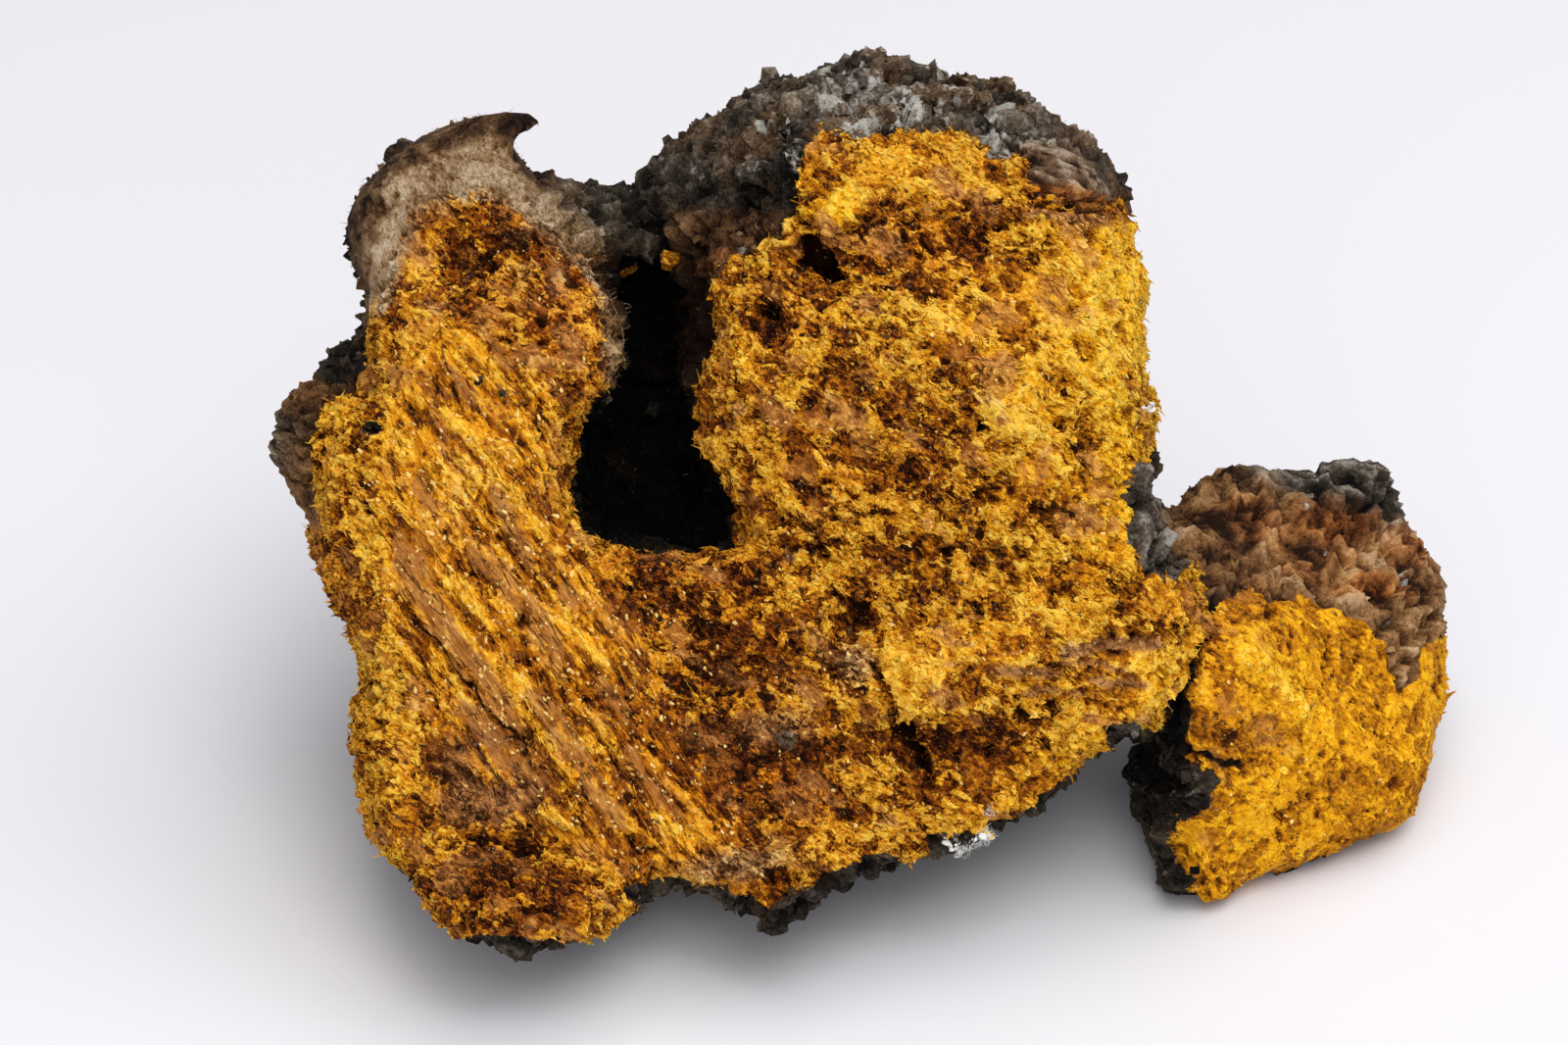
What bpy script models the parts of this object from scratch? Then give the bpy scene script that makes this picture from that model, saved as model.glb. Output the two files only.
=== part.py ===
"""A broken chunk of chaga, the black-crusted fungus that grows on birch.

One grown piece: an upright arm, a broad dome beside it with a deep hollow between
the two, a foot under the arm, and a lobe that leaves the dome's nose on the right.
The flat yellow side is the fracture. It leans back and looks along -Y and up.
The dark crust closes every other side, and the belly rests on small flats at Z = 0.

Units: the tables are in grid steps and millimetres, the mesh is in metres.
"""

import math

import bmesh
import bpy
import numpy as np
from mathutils import Matrix, Vector, noise

# ---------------------------------------------------------------- driving dimensions
PITCH = 0.0733  # mm covered by one grid step on the fracture
FAN = 424.0  # mm in front of the fracture where the grid's lines meet
MID_COL, MID_ROW = 800.0, 533.0  # grid centre
LEAN = math.radians(30.0)  # the fracture leans back from upright by this angle
REST_HEIGHT = 32.9  # mm from the floor to the grid centre
VOXEL = 0.9  # mm, grain of the joined body
FACETS = 9400  # triangles kept
RING = 56  # points around each section
CRUST_LUMP = 1.15  # mm, height of the crust's lumps
GOLD, BARK = (0.55, 0.28, 0.035, 1.0), (0.035, 0.03, 0.027, 1.0)

# ---------------------------------------------------------------- sections
# Every section lies in a plane fanned from the viewing side, one grid row each.
# (row, left, right, front depth left, front depth right, back depth left, back
# depth right, left at the back, right at the back). Depth is mm towards the front.
ARM = [
    (119, 474, 508, -13.0, -12.0, -16, -16, 478, 508),
    (127, 458, 521, -11.5, -11.0, -17, -17, 462, 520),
    (137, 436, 521, -10.2, -9.8, -19, -19, 442, 521),
    (148, 412, 521, -9.0, -8.6, -21, -21, 420, 524),
    (160, 393, 526, -8.0, -7.4, -23, -23, 402, 535),
    (176, 378, 546, -7.2, -6.2, -25, -25, 388, 556),
    (192, 363, 556, -7.0, -5.2, -27, -27, 375, 575),
    (210, 354, 574, -7.5, -4.4, -29, -29, 368, 600),
    (228, 346, 594, -8.0, -3.8, -30, -30, 364, 620),
    (242, 346, 606, -7.5, -3.6, -31, -31, 362, 625),
    (258, 354, 617, -6.5, -3.2, -32, -32, 362, 628),
    (276, 356, 624, -6.0, -2.8, -33, -33, 364, 630),
    (290, 368, 627, -4.5, -2.5, -33, -33, 372, 632),
    (304, 374, 629, -3.5, -2.3, -34, -34, 376, 632),
    (320, 371, 629, -3.0, -2.0, -34, -34, 376, 632),
    (342, 370, 630, -2.6, -1.5, -35, -35, 372, 630),
    (362, 370, 630, -2.6, -1.2, -35, -35, 360, 628),
    (380, 364, 629, -2.6, -1.2, -36, -36, 350, 625),
    (396, 350, 624, -2.4, -1.2, -36, -36, 340, 618),
    (408, 334, 606, -2.4, -1.0, -36, -36, 330, 606),
    (420, 322, 597, -2.2, -0.6, -37, -37, 325, 600),
    (440, 318, 596, -2.0, -0.6, -37, -37, 325, 597),
    (462, 315, 594, -1.6, -0.6, -37, -37, 325, 594),
    (490, 314, 588, -1.4, -0.6, -37, -37, 325, 590),
    (515, 317, 586, -1.2, -0.6, -37, -37, 328, 588),
    (530, 320, 592, -1.2, -0.6, -37, -38, 330, 596),
    (542, 320, 612, -1.2, -0.6, -37, -38, 331, 620),
    (552, 318, 640, -1.2, -0.4, -37, -38, 331, 650),
    (562, 317, 700, -1.2, -0.2, -37, -38, 332, 700),
    (580, 320, 720, -1.0, 0.2, -37, -38, 335, 715),
    (600, 328, 720, -0.8, 0.4, -37, -38, 340, 715),
    (620, 338, 720, -0.6, 0.4, -37, -38, 350, 715),
    (638, 352, 720, -0.4, 0.5, -36, -38, 362, 715),
    (657, 363, 720, -0.2, 0.5, -36, -37, 372, 715),
    (676, 369, 720, 0.0, 0.5, -35, -37, 380, 715),
    (698, 368, 720, 0.2, 0.5, -35, -37, 384, 715),
    (716, 359, 720, 0.3, 0.6, -35, -36, 380, 715),
    (738, 350, 720, 0.4, 0.8, -35, -36, 374, 715),
    (760, 351, 720, 0.8, 1.0, -34, -35, 372, 715),
    (778, 352, 720, 1.0, 1.0, -33, -34, 374, 715),
    (800, 357, 720, 1.3, 1.2, -31, -33, 378, 715),
    (826, 362, 720, 1.8, 1.2, -28, -30, 384, 715),
    (848, 366, 720, 2.4, 1.4, -25, -27, 392, 712),
    (866, 377, 716, 3.2, 1.8, -23, -24, 404, 706),
    (886, 402, 690, 4.4, 2.4, -20, -21, 424, 684),
    (903, 413, 668, 5.4, 3.2, -16, -17, 432, 664),
    (918, 419, 659, 6.0, 4.2, -12, -13, 438, 655),
    (932, 427, 649, 6.4, 5.0, -8, -9, 446, 645),
    (946, 441, 624, 6.6, 5.6, -5, -6, 456, 622),
    (958, 458, 597, 6.8, 6.0, -2, -2, 470, 595),
    (968, 488, 552, 6.6, 6.2, 1, 1, 498, 550),
    (979, 512, 540, 5.8, 5.8, 3, 3, 514, 539),
]
DOME = [
    (121, 829, 846, -5.0, -5.0, -10, -10, 829, 848),
    (128, 819, 905, -4.6, -4.4, -15, -15, 815, 910),
    (134, 814, 990, -4.2, -4.4, -18, -18, 806, 990),
    (141, 808, 1006, -3.6, -4.6, -20, -20, 800, 1010),
    (150, 802, 1046, -3.0, -5.4, -22, -23, 790, 1060),
    (158, 795, 1100, -2.6, -6.0, -24, -26, 780, 1108),
    (166, 786, 1118, -2.2, -6.2, -26, -28, 772, 1124),
    (176, 781, 1129, -2.0, -6.0, -27, -30, 766, 1134),
    (188, 783, 1138, -1.8, -5.4, -28, -31, 762, 1142),
    (202, 795, 1144, -1.4, -4.8, -30, -33, 762, 1148),
    (220, 796, 1151, -1.0, -4.4, -31, -34, 760, 1154),
    (238, 785, 1154, -0.8, -4.0, -32, -35, 752, 1156),
    (252, 767, 1157, -0.8, -3.8, -33, -36, 744, 1158),
    (264, 742, 1163, -1.2, -3.8, -33, -36, 726, 1163),
    (278, 722, 1170, -1.4, -3.8, -34, -37, 712, 1168),
    (294, 716, 1175, -1.0, -4.2, -34, -38, 706, 1170),
    (310, 718, 1169, -0.4, -3.2, -35, -38, 706, 1166),
    (326, 726, 1168, 0.0, -2.8, -35, -39, 708, 1166),
    (342, 729, 1170, 0.2, -2.4, -36, -39, 708, 1166),
    (356, 723, 1172, 0.2, -2.0, -36, -39, 706, 1166),
    (372, 716, 1167, 0.2, -1.6, -36, -39, 704, 1164),
    (388, 707, 1173, 0.2, -1.4, -36, -39, 702, 1166),
    (404, 704, 1184, 0.2, -1.6, -37, -39, 700, 1170),
    (420, 705, 1182, 0.3, -1.8, -37, -39, 700, 1170),
    (436, 707, 1181, 0.4, -1.8, -37, -39, 702, 1170),
    (456, 713, 1183, 0.4, -1.6, -38, -39, 706, 1170),
    (480, 719, 1181, 0.4, -1.4, -38, -39, 712, 1170),
    (500, 729, 1178, 0.4, -1.2, -38, -39, 720, 1170),
    (516, 741, 1185, 0.3, -1.2, -38, -38, 730, 1172),
    (532, 750, 1184, 0.2, -1.2, -38, -38, 738, 1174),
    (542, 757, 1194, 0.2, -1.4, -38, -38, 744, 1176),
    (550, 763, 1212, 0.1, -1.6, -38, -38, 748, 1178),
    (558, 752, 1221, 0.1, -1.6, -38, -38, 746, 1180),
    (566, 690, 1226, 0.0, -1.4, -38, -38, 690, 1182),
    (584, 640, 1234, 0.2, -1.0, -38, -37, 640, 1184),
    (606, 600, 1238, 0.4, -0.6, -38, -36, 610, 1184),
    (640, 600, 1238, 0.6, -0.2, -37, -35, 610, 1182),
    (654, 600, 1231, 0.6, -0.2, -37, -34, 610, 1180),
    (668, 600, 1224, 0.6, -0.2, -37, -33, 610, 1178),
    (692, 600, 1219, 0.6, -0.2, -36, -32, 610, 1176),
    (714, 600, 1207, 0.7, -0.2, -36, -31, 610, 1172),
    (732, 600, 1197, 0.8, -0.2, -35, -30, 610, 1164),
    (744, 600, 1184, 0.8, -0.4, -35, -29, 610, 1150),
    (752, 600, 1150, 0.9, -0.2, -35, -28, 610, 1130),
    (764, 600, 1136, 1.0, -0.2, -34, -27, 612, 1116),
    (780, 600, 1115, 1.0, -0.2, -34, -26, 614, 1096),
    (803, 604, 1090, 1.1, -0.4, -33, -24, 620, 1070),
    (826, 612, 1068, 1.2, -0.6, -31, -22, 630, 1046),
    (838, 620, 1026, 1.3, -0.4, -29, -21, 638, 1008),
    (857, 632, 1016, 1.4, -0.6, -26, -19, 650, 996),
    (867, 645, 994, 1.6, -0.4, -24, -18, 662, 975),
    (874, 655, 940, 1.7, 0.4, -22, -17, 672, 925),
    (888, 668, 906, 1.8, 0.8, -20, -15, 684, 894),
    (898, 680, 872, 1.8, 1.2, -18, -13, 696, 862),
    (908, 736, 842, 1.8, 1.4, -14, -11, 744, 836),
    (926, 764, 828, 2.2, 1.8, -9, -8, 770, 824),
    (940, 774, 815, 2.0, 1.6, -5, -5, 778, 812),
    (948, 784, 800, 1.0, 1.0, -3, -3, 786, 798),
]
# Crust dome behind the fracture, and the shoulder that falls from it to the left.
CROWN = [
    (58, 874, 905, -21, -21, -25, -25, 874, 905),
    (66, 864, 912, -19, -19, -28, -28, 864, 912),
    (74, 832, 935, -17, -17, -31, -31, 832, 935),
    (84, 802, 1000, -15, -16, -33, -33, 802, 995),
    (94, 775, 1048, -13, -15, -35, -35, 775, 1044),
    (106, 757, 1057, -11, -13, -37, -37, 750, 1055),
    (118, 748, 1066, -10, -11, -38, -38, 738, 1064),
    (130, 744, 1090, -10, -10, -39, -40, 728, 1086),
    (144, 740, 1108, -10, -9, -40, -41, 722, 1104),
    (160, 736, 1120, -10, -9, -41, -42, 718, 1116),
    (180, 730, 1134, -10, -8, -42, -43, 712, 1128),
    (200, 726, 1144, -10, -8, -43, -44, 708, 1138),
    (230, 722, 1152, -10, -8, -43, -44, 704, 1144),
    (270, 716, 1166, -10, -8, -44, -44, 700, 1148),
    (330, 712, 1166, -10, -8, -44, -44, 696, 1146),
    (400, 710, 1170, -10, -8, -46, -46, 694, 1140),
    (480, 720, 1170, -10, -8, -47, -47, 694, 1136),
    (560, 700, 1180, -10, -8, -48, -47, 690, 1130),
    (620, 690, 1180, -10, -8, -48, -46, 680, 1120),
    (670, 690, 1170, -10, -8, -46, -43, 676, 1104),
    (715, 690, 1150, -10, -8, -42, -38, 676, 1080),
    (760, 690, 1110, -10, -8, -37, -32, 684, 1040),
]
SHOULDER = [
    (122, 716, 780, -24, -20, -34, -34, 718, 780),
    (134, 705, 790, -23, -16, -36, -36, 708, 790),
    (148, 699, 800, -22, -14, -38, -38, 702, 800),
    (157, 676, 800, -23, -13, -39, -40, 680, 800),
    (170, 670, 800, -22, -12, -40, -41, 674, 800),
    (190, 664, 800, -21, -11, -41, -42, 668, 800),
    (215, 672, 800, -20, -10, -42, -43, 664, 800),
    (245, 690, 800, -18, -9, -42, -43, 664, 800),
    (275, 700, 800, -16, -9, -43, -44, 664, 800),
    (320, 705, 800, -16, -9, -43, -44, 664, 800),
    (420, 704, 800, -16, -9, -43, -43, 664, 800),
    (540, 745, 800, -16, -9, -42, -42, 664, 800),
]
# Low saddle that closes the hollow at the back, between the arm and the shoulder.
SADDLE = [
    (184, 546, 560, -24, -25, -34, -34, 546, 570),
    (190, 540, 668, -22, -26, -38, -38, 545, 690),
    (199, 532, 700, -20, -25, -39, -39, 540, 710),
    (214, 526, 720, -18, -24, -40, -40, 536, 720),
    (235, 520, 730, -16, -23, -41, -41, 530, 730),
    (262, 520, 740, -18, -22, -41, -42, 520, 740),
    (282, 520, 745, -25, -27, -41, -42, 515, 745),
    (310, 520, 750, -29, -30, -41, -42, 512, 750),
    (400, 520, 760, -31, -31, -41, -42, 510, 760),
    (500, 520, 780, -30, -30, -41, -42, 510, 780),
    (545, 520, 790, -26, -27, -41, -41, 510, 790),
    (566, 520, 790, -14, -14, -40, -40, 510, 790),
    (640, 520, 790, -14, -14, -38, -38, 510, 790),
]
# Crust lump on the arm's left flank, in two steps.
LUMP = [
    (400, 306, 400, -9.0, -6, -24, -26, 312, 400),
    (411, 291, 400, -7.6, -5, -26, -28, 300, 400),
    (424, 283, 400, -6.8, -4, -27, -30, 294, 400),
    (446, 278, 400, -6.6, -4, -28, -31, 290, 400),
    (464, 279, 400, -6.6, -4, -28, -31, 290, 400),
    (488, 286, 400, -7.0, -4, -28, -31, 294, 400),
    (508, 295, 400, -7.6, -4, -27, -31, 300, 400),
    (524, 307, 400, -8.2, -5, -26, -30, 310, 400),
    (538, 319, 400, -9.0, -7, -24, -28, 320, 400),
]
LEDGE = [
    (353, 364, 420, -17, -13, -26, -27, 364, 420),
    (362, 336, 420, -15, -12, -28, -29, 338, 420),
    (372, 328, 420, -14, -11, -29, -30, 332, 420),
    (386, 322, 420, -13, -10, -30, -31, 326, 420),
    (400, 312, 420, -12, -9, -30, -32, 318, 420),
    (424, 306, 420, -12, -9, -30, -32, 312, 420),
    (500, 318, 420, -12, -9, -30, -32, 320, 420),
    (530, 326, 420, -12, -9, -28, -30, 330, 420),
]
# Right lobe, turned away from the fracture, and the dark block on its far corner.
LOBE = [
    (479, 1246, 1282, -24, -25, -31, -31, 1246, 1290),
    (487, 1228, 1346, -23, -26, -34, -34, 1230, 1350),
    (500, 1212, 1400, -21, -27, -36, -37, 1216, 1400),
    (518, 1195, 1426, -18.5, -27, -38, -39, 1200, 1426),
    (540, 1188, 1440, -16, -26, -39, -40, 1190, 1436),
    (562, 1186, 1460, -14, -25, -40, -41, 1186, 1452),
    (584, 1186, 1471, -11, -24, -40, -41, 1184, 1462),
    (604, 1190, 1476, -8, -23, -40, -41, 1182, 1466),
    (624, 1190, 1478, -5.6, -22, -40, -41, 1180, 1468),
    (650, 1190, 1480, -4.6, -21, -39, -40, 1176, 1470),
    (680, 1190, 1481, -4.2, -20.5, -38, -39, 1170, 1471),
    (706, 1188, 1483, -4.2, -20, -37, -38, 1164, 1470),
    (732, 1190, 1479, -4.4, -20, -35, -36, 1154, 1466),
    (746, 1198, 1468, -4.6, -19.5, -33, -35, 1148, 1460),
    (762, 1206, 1467, -5.0, -19.5, -30, -34, 1141, 1458),
    (782, 1226, 1461, -6.0, -19, -28, -33, 1141, 1454),
    (802, 1238, 1457, -6.6, -19, -26.5, -31.5, 1146, 1450),
    (818, 1232, 1450, -7.2, -19, -25.5, -30, 1153, 1444),
    (834, 1220, 1446, -8.0, -19, -24.5, -28, 1163, 1440),
    (850, 1210, 1408, -8.6, -17.5, -23, -26, 1174, 1402),
    (866, 1206, 1372, -9.2, -16.5, -21, -24, 1187, 1366),
    (880, 1210, 1336, -9.6, -15.6, -19, -22, 1202, 1332),
    (894, 1216, 1294, -10.0, -14.4, -17.5, -20, 1213, 1290),
    (908, 1220, 1272, -10.4, -13.6, -16, -17, 1219, 1268),
    (920, 1224, 1254, -10.8, -12.6, -14, -15, 1224, 1252),
    (928, 1230, 1240, -11.4, -12.0, -13, -13, 1230, 1240),
]
BLOCK = [
    (474, 1352, 1408, -31, -31, -38, -38, 1354, 1406),
    (482, 1343, 1417, -29, -29, -40, -40, 1345, 1415),
    (500, 1342, 1422, -28, -28, -41, -41, 1344, 1420),
    (524, 1344, 1428, -27, -27, -41, -41, 1346, 1424),
    (546, 1346, 1436, -27, -27, -41, -41, 1350, 1430),
]
# Grey rim that stands up behind the fracture's top edge.
RIM = [
    (98, 898, 930, -9.0, -9.5, -15, -15, 898, 930),
    (104, 888, 966, -8.0, -9.5, -18, -18, 888, 966),
    (112, 884, 976, -7.0, -8.6, -20, -20, 884, 978),
    (122, 876, 980, -6.0, -7.6, -22, -22, 876, 982),
    (134, 862, 984, -5.0, -7.0, -22, -22, 862, 990),
    (146, 862, 1004, -5.0, -6.5, -22, -22, 862, 1010),
]
# Hooked tip on top of the arm: (column, row, depth, radius in mm)
HOOK = [
    (484, 148, -11.0, 2.4),
    (498, 135, -10.6, 1.8),
    (513, 127, -10.0, 1.2),
    (528, 124, -9.6, 0.95),
    (541, 124, -9.4, 0.85),
    (550, 128, -9.4, 0.5),
]
# Soft swells and hollows of the fracture: (column, row, half width, half height,
# turn in degrees, height in mm). A negative height is a hollow.
SWELLS = [
    (950, 430, 190, 150, 0, 1.6),
    (1075, 640, 110, 60, -8, 1.5),
    (960, 700, 80, 50, -20, 2.0),
    (870, 640, 34, 22, 10, -2.4),
    (905, 745, 60, 20, 45, -2.0),
    (990, 772, 70, 28, 12, -1.8),
    (700, 610, 70, 50, 0, -1.6),
    (735, 700, 60, 60, 0, -1.3),
    (830, 268, 32, 20, 25, -3.2),
    (785, 318, 26, 26, 0, -1.8),
    (950, 250, 80, 44, 0, -1.5),
    (1105, 445, 34, 26, 40, -1.3),
    (1045, 425, 60, 30, 40, 0.8),
    (485, 262, 44, 34, 0, -1.4),
    (430, 330, 60, 40, 0, 0.6),
    (500, 610, 120, 44, 55, 0.9),
    (420, 640, 60, 18, 52, -0.8),
    (500, 790, 66, 44, 10, -1.9),
    (540, 858, 74, 16, 6, -2.2),
    (540, 912, 90, 34, 5, 1.6),
    (395, 800, 34, 50, 0, 1.2),
    (640, 800, 90, 30, 50, 0.7),
    (820, 870, 70, 24, -5, 1.2),
    (1270, 660, 40, 60, -35, 1.4),
    (1370, 680, 70, 44, 20, -1.2),
    (1290, 740, 60, 30, 15, 0.9),
]


# ---------------------------------------------------------------- helpers
def spot(col, row, depth):
    """A grid column and row, and a depth in mm, as a point in mm in the resting pose."""
    k = PITCH * (FAN - depth) / FAN
    across, up = (col - MID_COL) * k, (MID_ROW - row) * k
    return (
        across,
        up * math.sin(LEAN) - depth * math.cos(LEAN),
        up * math.cos(LEAN) + depth * math.sin(LEAN) + REST_HEIGHT,
    )


def grid_of(points):
    """The reverse of spot for an array of points in mm: columns, rows and depths."""
    up0 = points[:, 2] - REST_HEIGHT
    up = points[:, 1] * math.sin(LEAN) + up0 * math.cos(LEAN)
    depth = up0 * math.sin(LEAN) - points[:, 1] * math.cos(LEAN)
    k = PITCH * (FAN - depth) / FAN
    return MID_COL + points[:, 0] / k, MID_ROW - up / k, depth


def ring(station):
    """One section: a rounded four-sided loop, squarer in front than at the back."""
    row, left, right, fl, fr, bl, br, left_b, right_b = station
    loop = []
    for i in range(RING):
        turn = 2.0 * math.pi * i / RING
        c, s = math.cos(turn), math.sin(turn)
        power = 2.0 / 5.5 if s > 0 else 2.0 / 2.8
        u = 0.5 + 0.5 * math.copysign(abs(c) ** power, c)
        q = 0.5 + 0.5 * math.copysign(abs(s) ** power, s)
        front_col, front_depth = left + (right - left) * u, fl + (fr - fl) * u
        back_col, back_depth = left_b + (right_b - left_b) * u, bl + (br - bl) * u
        loop.append(
            spot(
                back_col + (front_col - back_col) * q,
                row,
                back_depth + (front_depth - back_depth) * q,
            )
        )
    return loop


def loft(bm, stations):
    """A closed body through unlike sections, one loop each, with its ends capped."""
    rings = [
        [bm.verts.new(Vector(p) * 0.001) for p in ring(station)]
        for station in stations
    ]
    for low, high in zip(rings, rings[1:]):
        for i in range(RING):
            j = (i + 1) % RING
            bm.faces.new((low[i], low[j], high[j], high[i]))
    bm.faces.new(list(reversed(rings[0])))
    bm.faces.new(rings[-1])


def hook_mesh():
    """The hooked tip, as a tapering tube."""
    curve = bpy.data.curves.new("hook_curve", "CURVE")
    curve.dimensions = "3D"
    curve.bevel_depth = 0.001
    curve.bevel_resolution = 4
    curve.use_fill_caps = True
    spline = curve.splines.new("POLY")
    spline.points.add(len(HOOK) - 1)
    for point, (col, row, depth, radius) in zip(spline.points, HOOK):
        point.co = (*(Vector(spot(col, row, depth)) * 0.001), 1.0)
        point.radius = radius
    obj = bpy.data.objects.new("hook_curve", curve)
    bpy.context.scene.collection.objects.link(obj)
    graph = bpy.context.evaluated_depsgraph_get()
    mesh = bpy.data.meshes.new_from_object(obj.evaluated_get(graph))
    bpy.data.objects.remove(obj)
    return mesh


def evaluated(obj, name):
    graph = bpy.context.evaluated_depsgraph_get()
    mesh = bpy.data.meshes.new_from_object(obj.evaluated_get(graph))
    mesh.name = name
    return mesh


def joined_body():
    """All limbs grown together into one skin."""
    bm = bmesh.new()
    for limb in (ARM, DOME, CROWN, SHOULDER, SADDLE, LUMP, LEDGE, LOBE, BLOCK, RIM):
        loft(bm, limb)
    hook = hook_mesh()
    bm.from_mesh(hook)
    bmesh.ops.remove_doubles(bm, verts=bm.verts, dist=1e-6)
    bmesh.ops.recalc_face_normals(bm, faces=bm.faces)
    mesh = bpy.data.meshes.new("limbs")
    bm.to_mesh(mesh)
    bm.free()
    bpy.data.meshes.remove(hook)
    limbs = bpy.data.objects.new("limbs", mesh)
    bpy.context.scene.collection.objects.link(limbs)
    skin = limbs.modifiers.new("skin", "REMESH")
    skin.mode = "VOXEL"
    skin.voxel_size = VOXEL * 0.001
    skin.adaptivity = 0.0
    ease = limbs.modifiers.new("ease", "SMOOTH")
    ease.factor = 0.5
    ease.iterations = 2
    body = evaluated(limbs, "skin")
    bpy.data.objects.remove(limbs)
    return body


def arrays(mesh):
    points = np.empty(len(mesh.vertices) * 3, np.float32)
    mesh.vertices.foreach_get("co", points)
    normals = np.empty(len(mesh.vertices) * 3, np.float32)
    mesh.vertices.foreach_get("normal", normals)
    return points.reshape(-1, 3).astype(float) * 1000.0, normals.reshape(-1, 3)


def smooth_step(value, low, high):
    t = np.clip((value - low) / (high - low), 0.0, 1.0)
    return t * t * (3.0 - 2.0 * t)


def fracture_weight(points, normals):
    """1 on the yellow fracture, 0 on the crust."""
    front = np.array((0.0, -math.cos(LEAN), math.sin(LEAN)))
    right = np.array((0.62, -0.62, 0.48))
    col, row, depth = grid_of(points)
    plain = smooth_step(normals @ front, 0.45, 0.75) * smooth_step(depth, -11.0, -7.0)
    lobe = smooth_step(col, 1180.0, 1230.0) * smooth_step(row, 600.0, 640.0)
    lobe = lobe * smooth_step(normals @ right, 0.35, 0.7)
    return np.clip(np.maximum(plain, lobe), 0.0, 1.0)


def relieved(mesh):
    """Swells and hollows on the fracture, lumps and steps on the crust."""
    points, normals = arrays(mesh)
    col, row, _ = grid_of(points)
    face = fracture_weight(points, normals)
    height = np.zeros(len(points))
    for c, r, half_w, half_h, turn, rise in SWELLS:
        a = math.radians(turn)
        du, dv = col - c, row - r
        u = (du * math.cos(a) + dv * math.sin(a)) / half_w
        v = (-du * math.sin(a) + dv * math.cos(a)) / half_h
        height += rise * np.exp(-1.1 * (u * u + v * v))
    toward = np.array((0.0, -math.cos(LEAN), math.sin(LEAN)))
    moved = points + toward * (height * face)[:, None]
    lumps = np.empty(len(points))
    for i, p in enumerate(points):
        at = Vector(p)
        broad = noise.noise(at / 15.0 + Vector((2.0, 5.0, 9.0)))
        coarse = noise.noise(at / 8.0)
        cells = noise.voronoi(at / 6.5)[0]
        fine = noise.noise(at / 3.6 + Vector((7.0, 3.0, 1.0)))
        blocks = min(cells[1] - cells[0], 0.5)
        lumps[i] = 1.5 * broad + 0.9 * coarse + 1.3 * blocks + 0.35 * fine
    lumps -= lumps.mean()
    # The outline seen from the front is set by the sections, so lumps fade there.
    behind = 0.3 + 0.7 * smooth_step(-(normals @ toward), -0.1, 0.45)
    moved += normals * (CRUST_LUMP * lumps * (1.0 - face) * behind)[:, None]
    moved += normals * (0.1 * CRUST_LUMP * lumps * face)[:, None]
    mesh.vertices.foreach_set("co", (moved * 0.001).astype(np.float32).ravel())
    mesh.update()


def cutter_box(name, low, high, collection):
    bm = bmesh.new()
    bmesh.ops.create_cube(bm, size=1.0)
    for vert in bm.verts:
        vert.co = [
            (lo + hi) / 2 + v * (hi - lo) for lo, hi, v in zip(low, high, vert.co)
        ]
    mesh = bpy.data.meshes.new(name)
    bm.to_mesh(mesh)
    bm.free()
    box = bpy.data.objects.new(name, mesh)
    box.hide_render = True
    box.display_type = "WIRE"
    collection.objects.link(box)
    return box


def finish_material(name, colour, rough):
    material = bpy.data.materials.new(name)
    material.use_nodes = True
    shader = material.node_tree.nodes["Principled BSDF"]
    shader.inputs["Base Color"].default_value = colour
    shader.inputs["Roughness"].default_value = rough
    shader.inputs["Metallic"].default_value = 0.0
    return material


# ---------------------------------------------------------------- model
def main():
    """Builds the piece and returns how far it was moved to stand over the origin."""
    for old in list(bpy.data.objects):
        bpy.data.objects.remove(old, do_unlink=True)
    parts = bpy.data.collections.new("chaga_mushroom")
    cutters = bpy.data.collections.new("cutters")
    bpy.context.scene.collection.children.link(parts)
    bpy.context.scene.collection.children.link(cutters)

    mesh = joined_body()
    relieved(mesh)
    mesh.name = "chaga"
    mesh.materials.clear()
    mesh.materials.append(finish_material("chaga_crust", BARK, 0.9))
    mesh.materials.append(finish_material("chaga_flesh", GOLD, 0.85))
    chaga = bpy.data.objects.new("chaga", mesh)
    parts.objects.link(chaga)

    thin = chaga.modifiers.new("facets", "DECIMATE")
    thin.decimate_type = "COLLAPSE"
    thin.ratio = FACETS / sum(len(p.vertices) - 2 for p in mesh.polygons)
    floor = cutter_box("floor_cut", (-0.08, -0.08, -0.03), (0.08, 0.09, 0.0), cutters)
    rest = chaga.modifiers.new("rest_flats", "BOOLEAN")
    rest.operation = "DIFFERENCE"
    rest.solver = "EXACT"
    rest.object = floor

    # The origin stands under the middle of the piece, on the floor.
    shaped = evaluated(chaga, "chaga_shaped")
    points, _ = arrays(shaped)
    low, high = points.min(0), points.max(0)
    shift = Vector((-(low[0] + high[0]) / 2, -(low[1] + high[1]) / 2, 0.0)) * 0.001
    shaped.transform(Matrix.Translation(shift))
    for modifier in list(chaga.modifiers):
        chaga.modifiers.remove(modifier)
    chaga.data = shaped
    points, normals = arrays(shaped)
    centres = np.empty(len(shaped.polygons) * 3, np.float32)
    shaped.polygons.foreach_get("center", centres)
    facing = np.empty(len(shaped.polygons) * 3, np.float32)
    shaped.polygons.foreach_get("normal", facing)
    centres = centres.reshape(-1, 3).astype(float) - np.array(shift)
    weight = fracture_weight(centres * 1000.0, facing.reshape(-1, 3))
    shaped.polygons.foreach_set("material_index", (weight > 0.5).astype(np.int32))
    shaped.update()
    print("shift_mm", [round(v * 1000.0, 4) for v in shift])
    print("size_mm", [round(float(v), 3) for v in high - low])
    return shift


moved_by = main()
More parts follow.
